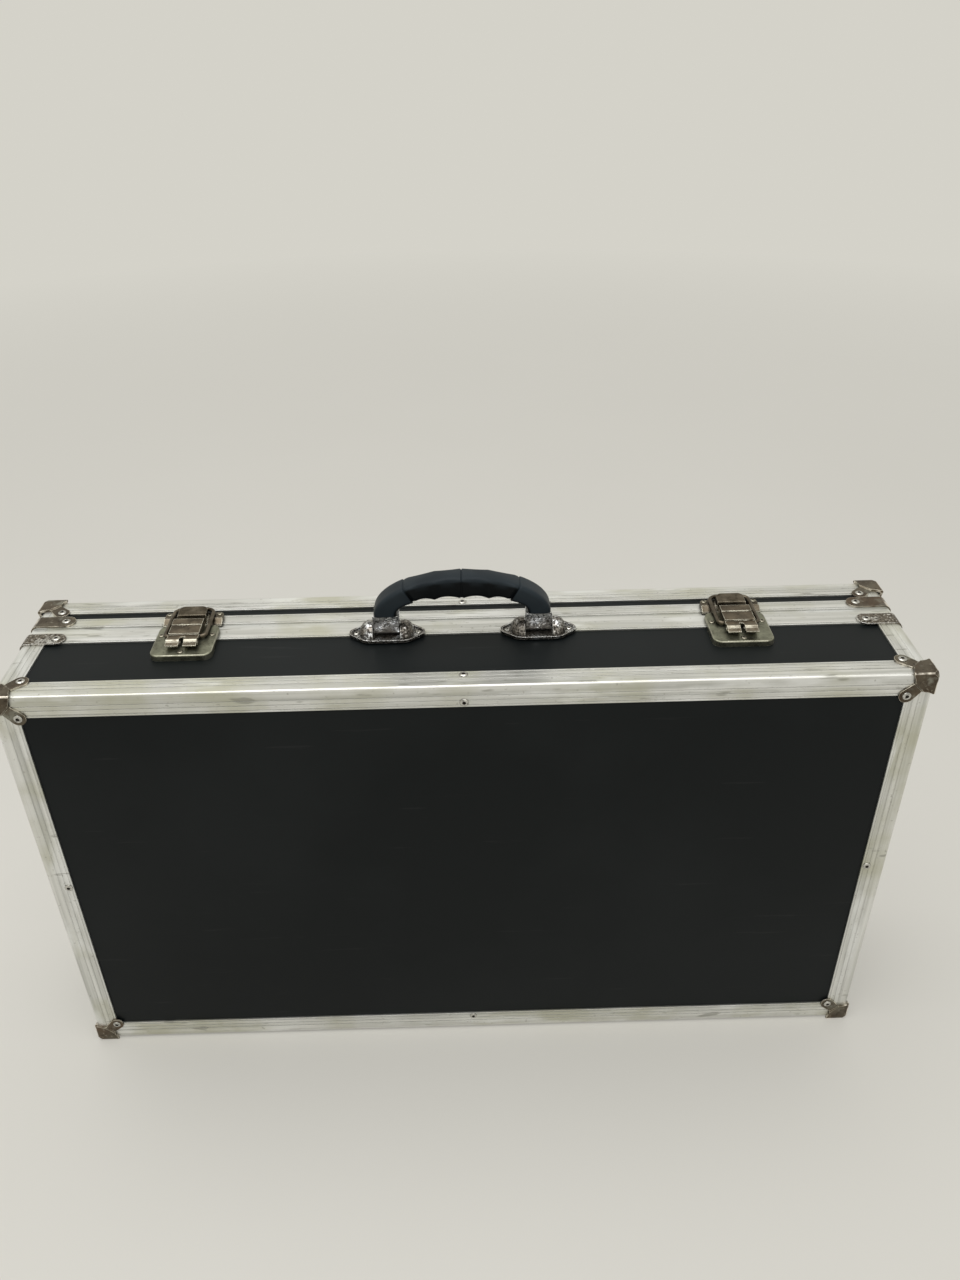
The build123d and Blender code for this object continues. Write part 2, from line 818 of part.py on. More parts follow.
def make_latch_pins():
    """The lever pins, held in the ears of both latch plates."""
    with BuildPart() as pins:
        for x in latch_places:
            with BuildSketch(Plane.YZ.offset(x - lever_width / 2)):
                with Locations((lever_pivot_y, lever_pivot_z)):
                    Circle(lever_pin_radius)
            extrude(amount=lever_width)
    return pins.part


def lever_point(reach, height):
    """A point of the lever's side view: reach from its pin towards the lip, height over the rim."""
    return (lever_pivot_y - reach, z_high + height)


def make_lever(x):
    """A folded lever: cheeks on the pin, a stepped top, a rolled barrel and a lifting lip."""
    with BuildPart() as lever:
        with BuildSketch(Plane.YZ.offset(x - lever_width / 2)):
            with BuildLine():
                Polyline(
                    lever_point(-lever_back, lever_top),
                    lever_point(lever_first_step, lever_top),
                    lever_point(lever_first_step, lever_top - lever_step),
                    lever_point(lever_second_step, lever_top - lever_step),
                    lever_point(lever_second_step, lever_under),
                    lever_point(barrel_reach, lever_under),
                    lever_point(barrel_reach, lever_under - lever_sheet),
                    lever_point(lever_second_step - lever_sheet, lever_under - lever_sheet),
                    lever_point(lever_second_step - lever_sheet, lever_under),
                    lever_point(-lever_back, lever_under),
                    close=True,
                )
            make_face()
            with Locations(lever_point(barrel_reach, barrel_height)):
                Circle(barrel_radius)
                Circle(barrel_radius - lever_sheet, mode=Mode.SUBTRACT)
            with BuildLine():
                Polyline(
                    lever_point(barrel_reach + barrel_radius / 2, lip_rise),
                    lever_point(lip_reach, lip_rise),
                    lever_point(lip_reach, lip_rise + lip_sheet),
                    lever_point(barrel_reach + barrel_radius / 2, barrel_height + barrel_radius / 2),
                    close=True,
                )
            make_face()
        extrude(amount=lever_width)
        for start in (x - lever_width / 2, x + cheek_inside):
            with BuildSketch(Plane.YZ.offset(start)):
                with Locations((lever_pivot_y, lever_pivot_z)):
                    Circle(lever_ear_radius)
                with BuildLine():
                    Polyline(
                        lever_point(0, lever_pivot_height - lever_ear_radius),
                        lever_point(bail_pivot_reach, lever_pivot_height - lever_ear_radius),
                        lever_point(bail_pivot_reach + 2 * lever_ear_radius, lever_under),
                        lever_point(-lever_back, lever_under),
                        lever_point(-lever_ear_radius, lever_pivot_height),
                        close=True,
                    )
                make_face()
                with Locations((lever_pivot_y, lever_pivot_z)):
                    Circle(lever_pin_radius + pin_fit, mode=Mode.SUBTRACT)
                with Locations((bail_pivot_y, bail_z)):
                    Circle(bail_wire_radius + pin_fit, mode=Mode.SUBTRACT)
            extrude(amount=lever_sheet)
        with BuildSketch(Plane.XY.offset(z_high)):
            with Locations((x, lever_pivot_y - lever_slot_reach)):
                Rectangle(lever_slot_width, case_length, align=(centred, Align.MAX))
        extrude(amount=2 * lever_top, mode=Mode.SUBTRACT)
    return lever.part


def make_bail(x):
    """The wire bail: in through the lever's cheeks at both ends, round the back of the hook."""
    inner = cheek_inside - lever_side_gap
    route = [
        (x - inner, bail_pivot_y, bail_z),
        (x - bail_half, bail_pivot_y, bail_z),
        (x - bail_half, bail_bar_y, bail_z),
        (x + bail_half, bail_bar_y, bail_z),
        (x + bail_half, bail_pivot_y, bail_z),
        (x + inner, bail_pivot_y, bail_z),
    ]
    with BuildPart() as bail:
        with BuildLine():
            FilletPolyline(*route, radius=[bail_end_bend, bail_bend, bail_bend, bail_end_bend])
        with BuildSketch(Plane(origin=route[0], z_dir=(-1, 0, 0))):
            Circle(bail_wire_radius)
        sweep()
    return bail.part


def make_catch(x):
    """A raised pan on the lid with its hook: a steep ramp, a slanting top and an upright back."""
    catch_end = catch_plate_from_seam + catch_plate_depth

    def at(from_seam, height):
        return (y_seam + from_seam, z_high + height)

    pan_outline = [
        at(catch_plate_from_seam, 0),
        at(catch_plate_from_seam, catch_sheet),
        at(catch_ramp_start, catch_sheet),
        at(catch_ramp_end, catch_height),
        at(catch_end, catch_height),
        at(catch_end, 0),
    ]
    hook_outline = [
        at(hook_ramp_start, catch_sheet / 2),
        at(hook_ramp_end, hook_shoulder),
        at(hook_back, hook_top),
        at(hook_back, catch_sheet / 2),
    ]
    with BuildPart() as catch:
        with BuildSketch(Plane.YZ.offset(x - catch_plate_width / 2)):
            with BuildLine():
                Polyline(*pan_outline, close=True)
            make_face()
        extrude(amount=catch_plate_width)
        fillet(catch.edges().filter_by(Axis.Z).sort_by(Axis.Y)[-2:], catch_corner_round)
        fillet(catch.faces().sort_by(Axis.Z)[-1].edges().sort_by(Axis.Y)[1:], catch_edge_round)
        with BuildPart(mode=Mode.PRIVATE) as hook:
            with BuildSketch(Plane.YZ.offset(x - hook_width / 2)):
                with BuildLine():
                    Polyline(*hook_outline, close=True)
                make_face()
            extrude(amount=hook_width)
            fillet(hook.edges().filter_by(Axis.Z).sort_by(Axis.Y)[-2:], hook_corner_round)
            top_edges = hook.faces().sort_by(Axis.Z)[-1].edges()
            fillet(top_edges, hook_edge_round)
        add(hook.part)
    return catch.part


# ---------------------------------------------------------------------------------------------
# Hinges
# ---------------------------------------------------------------------------------------------

hinge_axis_z = z_low - hinge_axis_drop
side_knuckle = (hinge_length - hinge_middle_knuckle) / 2 - knuckle_gap


def make_hinge_leaves(run, knuckles, fit):
    """Flat leaves under the rim, with knuckles that start along the hinge and have a length."""
    leaf_start = knuckle_radius + knuckle_gap
    with BuildPart() as leaves:
        for x in hinge_places:
            with BuildSketch(Plane.XY.offset(z_low)):
                with Locations((x, y_seam + run * (leaf_start + hinge_leaf_width) / 2)):
                    Rectangle(hinge_length, hinge_leaf_width - leaf_start)
            extrude(amount=-hinge_leaf_thickness)
            for start, length in knuckles:
                with BuildSketch(Plane.YZ.offset(x - hinge_length / 2 + start)):
                    with Locations((y_seam, hinge_axis_z)):
                        Circle(knuckle_radius)
                    with Locations((y_seam + run * leaf_start / 2, z_low)):
                        Rectangle(leaf_start, hinge_leaf_thickness, align=(centred, Align.MAX))
                    with Locations((y_seam, hinge_axis_z)):
                        Circle(hinge_pin_radius + fit, mode=Mode.SUBTRACT)
                extrude(amount=length)
    return leaves.part


def make_hinge_pins():
    """One pin through the knuckles of each hinge, held by the base's leaf."""
    with BuildPart() as pins:
        for x in hinge_places:
            with BuildSketch(Plane.YZ.offset(x - hinge_length / 2)):
                with Locations((y_seam, hinge_axis_z)):
                    Circle(hinge_pin_radius)
            extrude(amount=hinge_length)
    return pins.part


def hinge_rivet_seats(run):
    """Rivet seats on the underside of every leaf on one side of the seam."""
    y = y_seam + run * hinge_rivet_from_seam
    z = z_low - hinge_leaf_thickness
    return [
        ((x + step * hinge_rivet_spacing, y, z), (0, 0, -1))
        for x in hinge_places
        for step in (-1, 0, 1)
    ]


base_knuckles = [(0, side_knuckle), (hinge_length - side_knuckle, side_knuckle)]
lid_knuckles = [((hinge_length - hinge_middle_knuckle) / 2, hinge_middle_knuckle)]

# ---------------------------------------------------------------------------------------------
# The pieces, one file each
# ---------------------------------------------------------------------------------------------

os.makedirs("parts", exist_ok=True)

for shell, mouth_web in ((base, base_mouth), (lid, lid_mouth)):
    write(make_face_panel(shell), f"{shell.name}_panel")
    for side in sides:
        write(make_wall(shell, side, mouth_web), f"{shell.name}_wall_{side.name}")
        write(make_edge_angle(shell, side), f"{shell.name}_edge_angle_{side.name}")
        write(make_rim(shell, side), f"{shell.name}_rim_{side.name}")
    write(make_corner_angles(shell), f"{shell.name}_corner_angles")
    write(make_corner_caps(shell), f"{shell.name}_corner_caps")
    write(make_braces(shell), f"{shell.name}_rim_braces")
    write(
        make_rivets(shell_rivet_seats(shell), rivet_radius, rivet_height), f"{shell.name}_rivets"
    )

write(make_lining(base, carpet_thickness), "base_carpet")
write(make_lining(lid, foam_thickness), "lid_foam")

for name, x in zip(("left", "right"), handle_places):
    write(make_bracket(x), f"handle_bracket_{name}")
    write(make_clip(x), f"handle_clip_{name}")
write(make_handle_pins(), "handle_pins")
write(make_grip(), "handle_grip")
bracket_rivet_seats = [
    ((x + side * bracket_rivet_spread / 2, handle_y, z_high + bracket_sheet), (0, 0, 1))
    for x in handle_places
    for side in (-1, 1)
]
write(make_rivets(bracket_rivet_seats, small_rivet_radius, small_rivet_height), "handle_rivets")

for name, x in zip(("left", "right"), latch_places):
    write(make_latch_plate(x), f"latch_plate_{name}")
    write(make_lever(x), f"latch_lever_{name}")
    write(make_bail(x), f"latch_bail_{name}")
    write(make_catch(x), f"latch_catch_{name}")
write(make_latch_pins(), "latch_pins")
latch_rivet_seats = [
    (
        (
            x + side * latch_rivet_spread / 2,
            y_seam - latch_rivet_from_seam,
            z_high + latch_plate_height,
        ),
        (0, 0, 1),
    )
    for x in latch_places
    for side in (-1, 1)
]
latch_rivet_seats += [
    ((x, y_seam - latch_middle_rivet_from_seam, z_high + latch_plate_height), (0, 0, 1))
    for x in latch_places
]
catch_rivet_seats = [
    (
        (x + side * catch_rivet_spread / 2, y_seam + catch_rivet_from_seam, z_high + catch_height),
        (0, 0, 1),
    )
    for x in latch_places
    for side in (-1, 1)
]
write(make_rivets(latch_rivet_seats, small_rivet_radius, small_rivet_height), "latch_plate_rivets")
write(make_rivets(catch_rivet_seats, small_rivet_radius, small_rivet_height), "latch_catch_rivets")

write(make_hinge_leaves(-1, base_knuckles, 0), "hinge_base_leaves")
write(make_hinge_leaves(1, lid_knuckles, pin_fit), "hinge_lid_leaves")
write(make_hinge_pins(), "hinge_pins")
write(
    make_rivets(hinge_rivet_seats(-1), small_rivet_radius, small_rivet_height), "hinge_base_rivets"
)
write(
    make_rivets(hinge_rivet_seats(1), small_rivet_radius, small_rivet_height), "hinge_lid_rivets"
)
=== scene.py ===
"""The looks of a guitar pedal case that stands on its hinge side.

X runs along the case, -Y is out of the deep base shell, +Y out of the lid and Z is up. Everything is
in metres. The panels, extrusions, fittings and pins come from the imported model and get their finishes
here. The rivets, the grip and the linings are made again as finer surfaces in the same places.
"""

from math import radians

import bpy
import numpy as np
from mathutils import Matrix, Vector


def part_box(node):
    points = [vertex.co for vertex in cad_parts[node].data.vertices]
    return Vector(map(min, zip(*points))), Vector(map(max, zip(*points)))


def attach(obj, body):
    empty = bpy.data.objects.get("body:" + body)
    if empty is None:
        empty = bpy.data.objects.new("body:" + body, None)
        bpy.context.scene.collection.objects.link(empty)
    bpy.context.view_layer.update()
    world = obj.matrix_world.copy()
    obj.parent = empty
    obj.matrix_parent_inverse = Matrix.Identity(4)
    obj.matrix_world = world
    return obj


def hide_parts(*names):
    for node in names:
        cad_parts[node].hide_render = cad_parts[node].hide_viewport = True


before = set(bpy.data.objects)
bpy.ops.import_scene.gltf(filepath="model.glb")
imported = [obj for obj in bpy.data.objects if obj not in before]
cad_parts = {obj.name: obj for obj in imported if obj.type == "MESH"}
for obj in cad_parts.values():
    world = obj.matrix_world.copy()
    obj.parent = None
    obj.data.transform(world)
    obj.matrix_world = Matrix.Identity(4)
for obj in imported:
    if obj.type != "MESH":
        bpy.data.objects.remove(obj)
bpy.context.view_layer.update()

MM = 0.001

# ---------------------------------------------------------------------------------------------
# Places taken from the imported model
# ---------------------------------------------------------------------------------------------

FACE_Y = {"base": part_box("base_edge_angle_top")[0].y, "lid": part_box("lid_edge_angle_top")[1].y}
INWARD = {"base": 1, "lid": -1}
SEAM_Y = sum(corner.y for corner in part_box("hinge_pins")) / 2
HALF_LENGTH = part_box("base_edge_angle_right")[1].x
TOP_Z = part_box("base_edge_angle_top")[1].z
LOW_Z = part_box("base_edge_angle_bottom")[0].z
MIDDLE_Z = (TOP_Z + LOW_Z) / 2

# ---------------------------------------------------------------------------------------------
# Finishes
# ---------------------------------------------------------------------------------------------


class Finish:
    """A material whose nodes are added one call at a time, all on the piece's own coordinates.

    The plain colour and roughness hold where no node is linked to them.
    """

    def __init__(self, name, colour, roughness, metallic=0.0):
        self.material = bpy.data.materials.new(name)
        self.material.use_nodes = True
        self.tree = self.material.node_tree
        self.shader = self.tree.nodes["Principled BSDF"]
        own = self.node("TexCoord")
        self.place = own.outputs["Object"]
        self.facing = own.outputs["Normal"]
        self.shader.inputs["Base Color"].default_value = (*colour, 1)
        self.shader.inputs["Roughness"].default_value = roughness
        self.shader.inputs["Metallic"].default_value = metallic

    def node(self, kind, sockets=(), **settings):
        """A node of that kind, with its sockets set to values or linked to other sockets."""
        made = self.tree.nodes.new("ShaderNode" + kind)
        for key, value in settings.items():
            setattr(made, key, value)
        for socket, value in dict(sockets).items():
            self.plug(made.inputs[socket], value)
        return made

    def plug(self, socket, value):
        """Sets a socket, or links it where the value is a socket itself."""
        if isinstance(value, bpy.types.NodeSocket):
            self.tree.links.new(value, socket)
        elif isinstance(value, tuple) and socket.type == "RGBA":
            socket.default_value = (*value, 1)
        else:
            socket.default_value = value

    def noise(self, scale, detail=4, stretch=(1, 1, 1), turn=(0, 0, 0)):
        """Smooth noise from 0 to 1, with that many cells a metre along each stretched axis."""
        place = self.node(
            "Mapping", {"Vector": self.place, "Scale": stretch, "Rotation": turn}
        ).outputs["Vector"]
        return self.node(
            "TexNoise", {"Vector": place, "Scale": scale, "Detail": detail}
        ).outputs["Fac"]

    def cells(self, scale):
        """Distance to the nearest of randomly scattered points, in cell sizes."""
        return self.node("TexVoronoi", {"Vector": self.place, "Scale": scale}).outputs["Distance"]

    def between(self, value, low, high, start=0.0, end=1.0):
        """Value's way from low to high, clamped, as a number from start to end."""
        return self.node(
            "MapRange",
            {"Value": value, "From Min": low, "From Max": high, "To Min": start, "To Max": end},
        ).outputs["Result"]

    def times(self, first, second):
        """The product of two values."""
        made = self.node("Math", operation="MULTIPLY")
        self.plug(made.inputs[0], first)
        self.plug(made.inputs[1], second)
        return made.outputs["Value"]

    def folds(self, low=0.2, high=0.42):
        """1 along rolled edges between two faces of the piece, 0 on its faces and at its corners.

        Read from the piece's own normal (x, y, z): |xy| + |yz| + |zx| - 6 |xyz|.
        """
        ways = self.node("VectorMath", {0: self.facing}, operation="ABSOLUTE").outputs["Vector"]
        split = self.node("SeparateXYZ", {"Vector": ways}).outputs
        turned = self.node("CombineXYZ", {"X": split["Y"], "Y": split["Z"], "Z": split["X"]})
        pairs = self.node("VectorMath", {0: ways, 1: turned.outputs[0]}, operation="DOT_PRODUCT")
        corner = self.times(self.times(split["X"], split["Y"]), self.times(split["Z"], -6.0))
        total = self.node("Math", {0: pairs.outputs["Value"], 1: corner}, operation="ADD")
        return self.between(total.outputs["Value"], low, high)

    def mixed(self, share, first, second):
        """The first colour, giving way to the second as share goes from 0 to 1."""
        return self.node(
            "MixRGB", {"Fac": share, "Color1": first, "Color2": second}
        ).outputs["Color"]

    def over(self, base, colour, pattern, low, high, share=1.0):
        """The base colour, giving way to another up to share as pattern goes from low to high."""
        return self.mixed(self.between(pattern, low, high, 0, share), base, colour)

    def highlit_and_worn_edges(self, radius, low, high):
        """1 on convex and concave edges within radius, 0 on open faces, broken up by noise."""
        rounded = self.node("Bevel", {"Radius": radius}, samples=6).outputs["Normal"]
        facing = self.node("NewGeometry").outputs["Normal"]
        match = self.node("VectorMath", {0: rounded, 1: facing}, operation="DOT_PRODUCT")
        edge = self.between(match.outputs["Value"], 0.995, 0.9)
        return self.times(edge, self.between(self.noise(160, 3), low, high))

    def crevices(self, reach):
        """1 deep in grooves and corners within reach, where shade falls, 0 on open faces."""
        open_air = self.node("AmbientOcclusion", {"Distance": reach}, samples=6, inside=False)
        return self.between(open_air.outputs["AO"], 0.85, 0.35)

    def coloured(self, colour):
        """Gives the surface its colour."""
        self.plug(self.shader.inputs["Base Color"], colour)

    def rough(self, value):
        """Gives the surface its roughness, from 0 for a mirror to 1 for chalk."""
        self.plug(self.shader.inputs["Roughness"], value)

    def gloss(self, level):
        """Sets how strongly a coated or moulded face mirrors, 0.5 being the plain value."""
        self.shader.inputs["Specular IOR Level"].default_value = level

    def bumped(self, height, depth, edge_radius=0.0):
        """Raises the surface by height times depth metres, over edges rolled by edge_radius."""
        bump = self.node("Bump", {"Height": height, "Distance": depth, "Strength": 1.0})
        if edge_radius:
            rolled = self.node("Bevel", {"Radius": edge_radius}, samples=6).outputs["Normal"]
            self.plug(bump.inputs["Normal"], rolled)
        self.plug(self.shader.inputs["Normal"], bump.outputs["Normal"])


def black_laminate():
    """Satin black laminate: hand smudges in the gloss, dusted patches and fine rubbed lines."""
    finish = Finish("black_laminate", (0.007, 0.0078, 0.0078), 0.4)
    finish.gloss(0.13)
    smudge = finish.noise(5, 5)
    cloud = finish.between(smudge, 0.42, 0.62)
    rub = finish.noise(3, 6, stretch=(4, 60, 60), turn=(0.0, 0.3, 0.2))
    lines = finish.between(rub, 0.66, 0.72)
    dust_and_painted_light = finish.mixed(cloud, (0.0044, 0.0062, 0.0066), (0.0082, 0.0102, 0.0106))
    finish.coloured(finish.mixed(finish.times(lines, 0.14), dust_and_painted_light, (0.05, 0.05, 0.05)))
    finish.rough(finish.between(smudge, 0.35, 0.65, 0.36, 0.5))
    finish.bumped(finish.noise(900, 3), 0.00003)
    return finish.material


def mill_aluminium(run):
    """Mill finish aluminium, drawn along the run axis: die lines, stains, scratches, grey grooves.

    Its grooves are darkened by grime and painted shade, and its folds carry a painted highlight. The
    long runs along X have the darkest grooves and a painted highlight along the edges of their ribs.
    """
    finish = Finish(f"mill_aluminium_{run}", (0.6, 0.6, 0.58), 0.38, 0.9)
    lengthwise = [300, 300, 300]
    lengthwise["xyz".index(run)] = 3.5
    crosswise = [60, 60, 60]
    crosswise["xyz".index(run)] = 14
    die_lines = finish.noise(1, 5, stretch=tuple(lengthwise))
    stain = finish.noise(16, 7)
    smear = finish.noise(1, 5, stretch=tuple(crosswise), turn=(0.2, 0.15, 0.1))
    scratch = finish.noise(1, 2, stretch=(34, 210, 120), turn=(0.5, 0.9, 0.7))
    fleck = finish.noise(330, 3)
    drawn = finish.over((0.54, 0.545, 0.515), (0.82, 0.82, 0.79), die_lines, 0.32, 0.68)
    stained = finish.over(drawn, (0.49, 0.485, 0.36), stain, 0.46, 0.64, 0.65)
    smeared = finish.over(stained, (0.9, 0.91, 0.9), smear, 0.52, 0.66, 0.7)
    scratched = finish.over(smeared, (0.27, 0.265, 0.23), scratch, 0.66, 0.72, 0.6)
    rubbed = finish.over(scratched, (0.3, 0.29, 0.25), fleck, 0.66, 0.74, 0.5)
    reach, dirt_and_shade_strength, edge_radius = 0.0025, 0.12, 0.0008
    if run == "x":
        reach, dirt_and_shade_strength, edge_radius = 0.0035, 0.8, 0.0003
        # On the long runs, a painted highlight along the edges of ribs and grooves, broken up by noise.
        edge = finish.times(finish.highlit_and_worn_edges(edge_radius, 0.2, 0.45), 0.7)
        rubbed = finish.mixed(edge, rubbed, (0.93, 0.93, 0.9))
    # A painted highlight along the folds between faces.
    wear_and_highlight = finish.mixed(finish.times(finish.folds(), 0.35), rubbed, (0.88, 0.88, 0.84))
    # Grooves and corners darkened from ambient occlusion: grime and painted shade.
    dirt_and_shade = finish.times(finish.crevices(reach), dirt_and_shade_strength)
    finish.coloured(finish.mixed(dirt_and_shade, wear_and_highlight, (0.1, 0.1, 0.08)))
    finish.rough(finish.between(stain, 0.3, 0.7, 0.3, 0.5))
    finish.bumped(die_lines, 0.00012, edge_radius)
    return finish.material


def tarnished_steel():
    """Steel caps gone brown: dark bronze, red rust blushes, grey rubs, painted highlights on folds."""
    finish = Finish("tarnished_steel", (0.1, 0.075, 0.05), 0.36, 0.85)
    patch = finish.noise(60, 6)
    blush = finish.noise(38, 4)
    speck = finish.noise(420, 4)
    rub = finish.noise(85, 5)
    brown = finish.over((0.062, 0.045, 0.03), (0.15, 0.13, 0.095), patch, 0.36, 0.66)
    red = finish.over(brown, (0.13, 0.08, 0.045), blush, 0.5, 0.66, 0.55)
    rubbed = finish.over(red, (0.3, 0.3, 0.25), rub, 0.56, 0.68, 0.7)
    specked = finish.over(rubbed, (0.36, 0.33, 0.26), speck, 0.6, 0.72, 0.6)
    pitted = finish.over(specked, (0.025, 0.018, 0.012), speck, 0.4, 0.3, 0.7)
    # A painted highlight along the folds, broken up by noise.
    edge = finish.between(finish.noise(130, 3), 0.36, 0.56)
    fold_highlit = finish.mixed(finish.times(finish.folds(), edge), pitted, (0.86, 0.8, 0.7))
    wear_and_highlight = finish.highlit_and_worn_edges(0.0007, 0.38, 0.58)
    finish.coloured(finish.mixed(wear_and_highlight, fold_highlit, (0.75, 0.7, 0.58)))
    finish.rough(finish.between(patch, 0.3, 0.7, 0.26, 0.48))
    finish.bumped(speck, 0.0001, 0.0004)
    return finish.material


def worn_nickel():
    """Nickelled straps: bright where rubbed, pitted grey and brown where the plating has gone."""
    finish = Finish("worn_nickel", (0.5, 0.48, 0.43), 0.3, 0.95)
    patch = finish.noise(75, 6)
    pit = finish.noise(520, 4)
    gone = finish.between(patch, 0.35, 0.47)
    plated = finish.mixed(gone, (0.6, 0.59, 0.55), (0.19, 0.165, 0.13))
    pitted = finish.over(plated, (0.05, 0.04, 0.03), pit, 0.5, 0.58, 0.9)
    bright = finish.over(pitted, (0.85, 0.84, 0.8), pit, 0.4, 0.34, 0.9)
    wear_and_highlight = finish.highlit_and_worn_edges(0.0008, 0.3, 0.5)
    finish.coloured(finish.mixed(wear_and_highlight, bright, (0.86, 0.85, 0.82)))
    finish.rough(finish.between(patch, 0.4, 0.62, 0.2, 0.42))
    finish.bumped(finish.between(pit, 0.6, 0.48), 0.00018, 0.0004)
    return finish.material


def pitted_chrome(name, gone):
    """Old chrome, freckled with pits and a grey-brown bloom; gone is the share of plating lost."""
    finish = Finish(name, (0.6, 0.61, 0.62), 0.2, 1.0)
    bloom = finish.noise(110, 6)
    pit = finish.noise(560, 4)
    onset = 0.56 - 0.22 * gone
    bloomed = finish.over((0.62, 0.63, 0.64), (0.16, 0.14, 0.115), bloom, onset, onset + 0.12, gone)
    start = 0.62 - 0.14 * gone
    pitted = finish.over(bloomed, (0.03, 0.026, 0.022), pit, start, start + 0.06, 0.9)
    bright = finish.over(pitted, (0.8, 0.8, 0.79), pit, 0.38, 0.3, 0.6)
    wear_and_highlight = finish.highlit_and_worn_edges(0.0006, 0.3, 0.45)
    # Grooves and corners darkened from ambient occlusion: grime and painted shade.
    dirt_and_shade = finish.times(finish.crevices(0.002), 0.8)
    edged = finish.mixed(wear_and_highlight, bright, (0.9, 0.9, 0.88))
    finish.coloured(finish.mixed(dirt_and_shade, edged, (0.02, 0.018, 0.016)))
    finish.rough(finish.between(bloom, 0.4, 0.6, 0.14, 0.36))
    finish.bumped(finish.between(pit, 0.6, 0.5), 0.00016, 0.0004)
    return finish.material


def antique_brass(name, dark, light, shine):
    """Antique brass from a dark to a light tone; shine scales the highlight painted on its folds."""
    finish = Finish(name, light, 0.34, 0.9)
    patch = finish.noise(110, 5)
    speck = finish.noise(620, 4)
    olive = finish.over(dark, light, patch, 0.35, 0.68)
    specked = finish.over(olive, (0.03, 0.025, 0.018), speck, 0.58, 0.7, 0.6)
    # Grooves and corners darkened from ambient occlusion: grime and painted shade.
    dirtied_and_shaded = finish.mixed(finish.times(finish.crevices(0.002), 0.85), specked, (0.012, 0.01, 0.008))
    # A painted highlight along the folds, broken up by noise and scaled by shine.
    edge = finish.between(finish.noise(150, 3), 0.3, 0.55, 0, shine)
    fold_highlit = finish.mixed(finish.times(finish.folds(0.12, 0.4), edge), dirtied_and_shaded, (0.75, 0.72, 0.6))
    # Edges bright with wear, partly a painted highlight.
    wear_and_highlight = finish.highlit_and_worn_edges(0.0008, 0.3, 0.5)
    finish.coloured(finish.mixed(wear_and_highlight, fold_highlit, (0.86, 0.83, 0.7)))
    finish.rough(finish.between(patch, 0.3, 0.7, 0.22, 0.42))
    finish.bumped(speck, 0.00006, 0.0004)
    return finish.material


def bright_steel(name, colour, roughness):
    """Plain steel for rivets, their pits and hinges, with specks, and grime and painted shade in
    corners.
    """
    finish = Finish(name, colour, roughness, 1.0)
    speck = finish.noise(520, 4)
    dull = tuple(0.35 * channel for channel in colour)
    specked = finish.over(colour, dull, speck, 0.5, 0.66, 0.8)
    # Grooves, corners and rivet pits darkened from ambient occlusion: grime and painted shade.
    dirt_and_shade = finish.times(finish.crevices(0.0016), 0.92)
    finish.coloured(finish.mixed(dirt_and_shade, specked, (0.02, 0.017, 0.014)))
    finish.rough(finish.between(speck, 0.35, 0.7, roughness, roughness + 0.2))
    finish.bumped(speck, 0.00005, 0.0003)
    return finish.material


def moulded_grip():
    """Black moulded plastic with a fine leather grain, painted light on top, painted shade below."""
    finish = Finish("moulded_grip", (0.009, 0.011, 0.013), 0.4)
    finish.gloss(0.1)
    rub = finish.noise(28, 4)
    grain = finish.cells(1500)
    # The grip's attribute: 1 painted lighter where it faces up, 0 painted shade on the finger side.
    dust_and_painted_light = finish.node("Attribute", attribute_name="dust_and_painted_light").outputs["Fac"]
    rubbed = finish.over((0.015, 0.02, 0.024), (0.021, 0.028, 0.033), rub, 0.4, 0.65)
    finish.coloured(finish.mixed(dust_and_painted_light, (0.0032, 0.0042, 0.005), rubbed))
    finish.rough(finish.between(rub, 0.35, 0.65, 0.5, 0.38))
    finish.bumped(grain, 0.00004)
    return finish.material


def carpet_pile():
    """Needled carpet: dark grey fibres with lint, rough and matted."""
    finish = Finish("carpet_pile", (0.045, 0.045, 0.05), 0.95)
    tuft = finish.noise(1400, 5)
    mat = finish.noise(22, 4)
    fibre = finish.mixed(tuft, (0.02, 0.02, 0.023), (0.075, 0.075, 0.08))
    finish.coloured(finish.over(fibre, (0.1, 0.1, 0.1), mat, 0.45, 0.7, 0.35))
    finish.bumped(tuft, 0.0006)
    finish.shader.inputs["Sheen Weight"].default_value = 0.3
    return finish.material


def foam_cells():
    """Open-cell foam: charcoal, with fine pores and paler patches."""
    finish = Finish("foam_cells", (0.06, 0.06, 0.065), 0.9)
    pore = finish.cells(900)
    tone = finish.noise(30, 3)
    skin = finish.over((0.015, 0.015, 0.017), (0.07, 0.07, 0.075), pore, 0.1, 0.5)
    finish.coloured(finish.over(skin, (0.11, 0.11, 0.115), tone, 0.4, 0.7, 0.3))
    finish.bumped(pore, 0.0004)
    return finish.material


LAMINATE = black_laminate()
ALUMINIUM = {run: mill_aluminium(run) for run in "xyz"}
BRONZED = tarnished_steel()
NICKEL = worn_nickel()
CHROME = pitted_chrome("pitted_chrome", 0.9)
CLIP_CHROME = pitted_chrome("clip_chrome", 0.35)
BRASS = antique_brass("antique_brass", (0.075, 0.058, 0.038), (0.18, 0.145, 0.1), 0.6)
FITTING_BRASS = antique_brass("fitting_brass", (0.065, 0.052, 0.034), (0.16, 0.135, 0.1), 0.0)
PLATE_BRASS = antique_brass("plate_brass", (0.15, 0.15, 0.11), (0.28, 0.285, 0.21), 0.3)
RIVET = bright_steel("rivet_steel", (0.58, 0.57, 0.53), 0.2)
DULL_RIVET = bright_steel("dull_rivet", (0.3, 0.28, 0.22), 0.3)
# The rivet pits are a dark steel: painted shade inside the holes.
SHADED_RIVET_PIT = bright_steel("rivet_pit_painted_shade", (0.045, 0.04, 0.034), 0.5)
ZINC = bright_steel("zinc_plate", (0.56, 0.56, 0.53), 0.34)
GRIP = moulded_grip()
CARPET = carpet_pile()
FOAM = foam_cells()


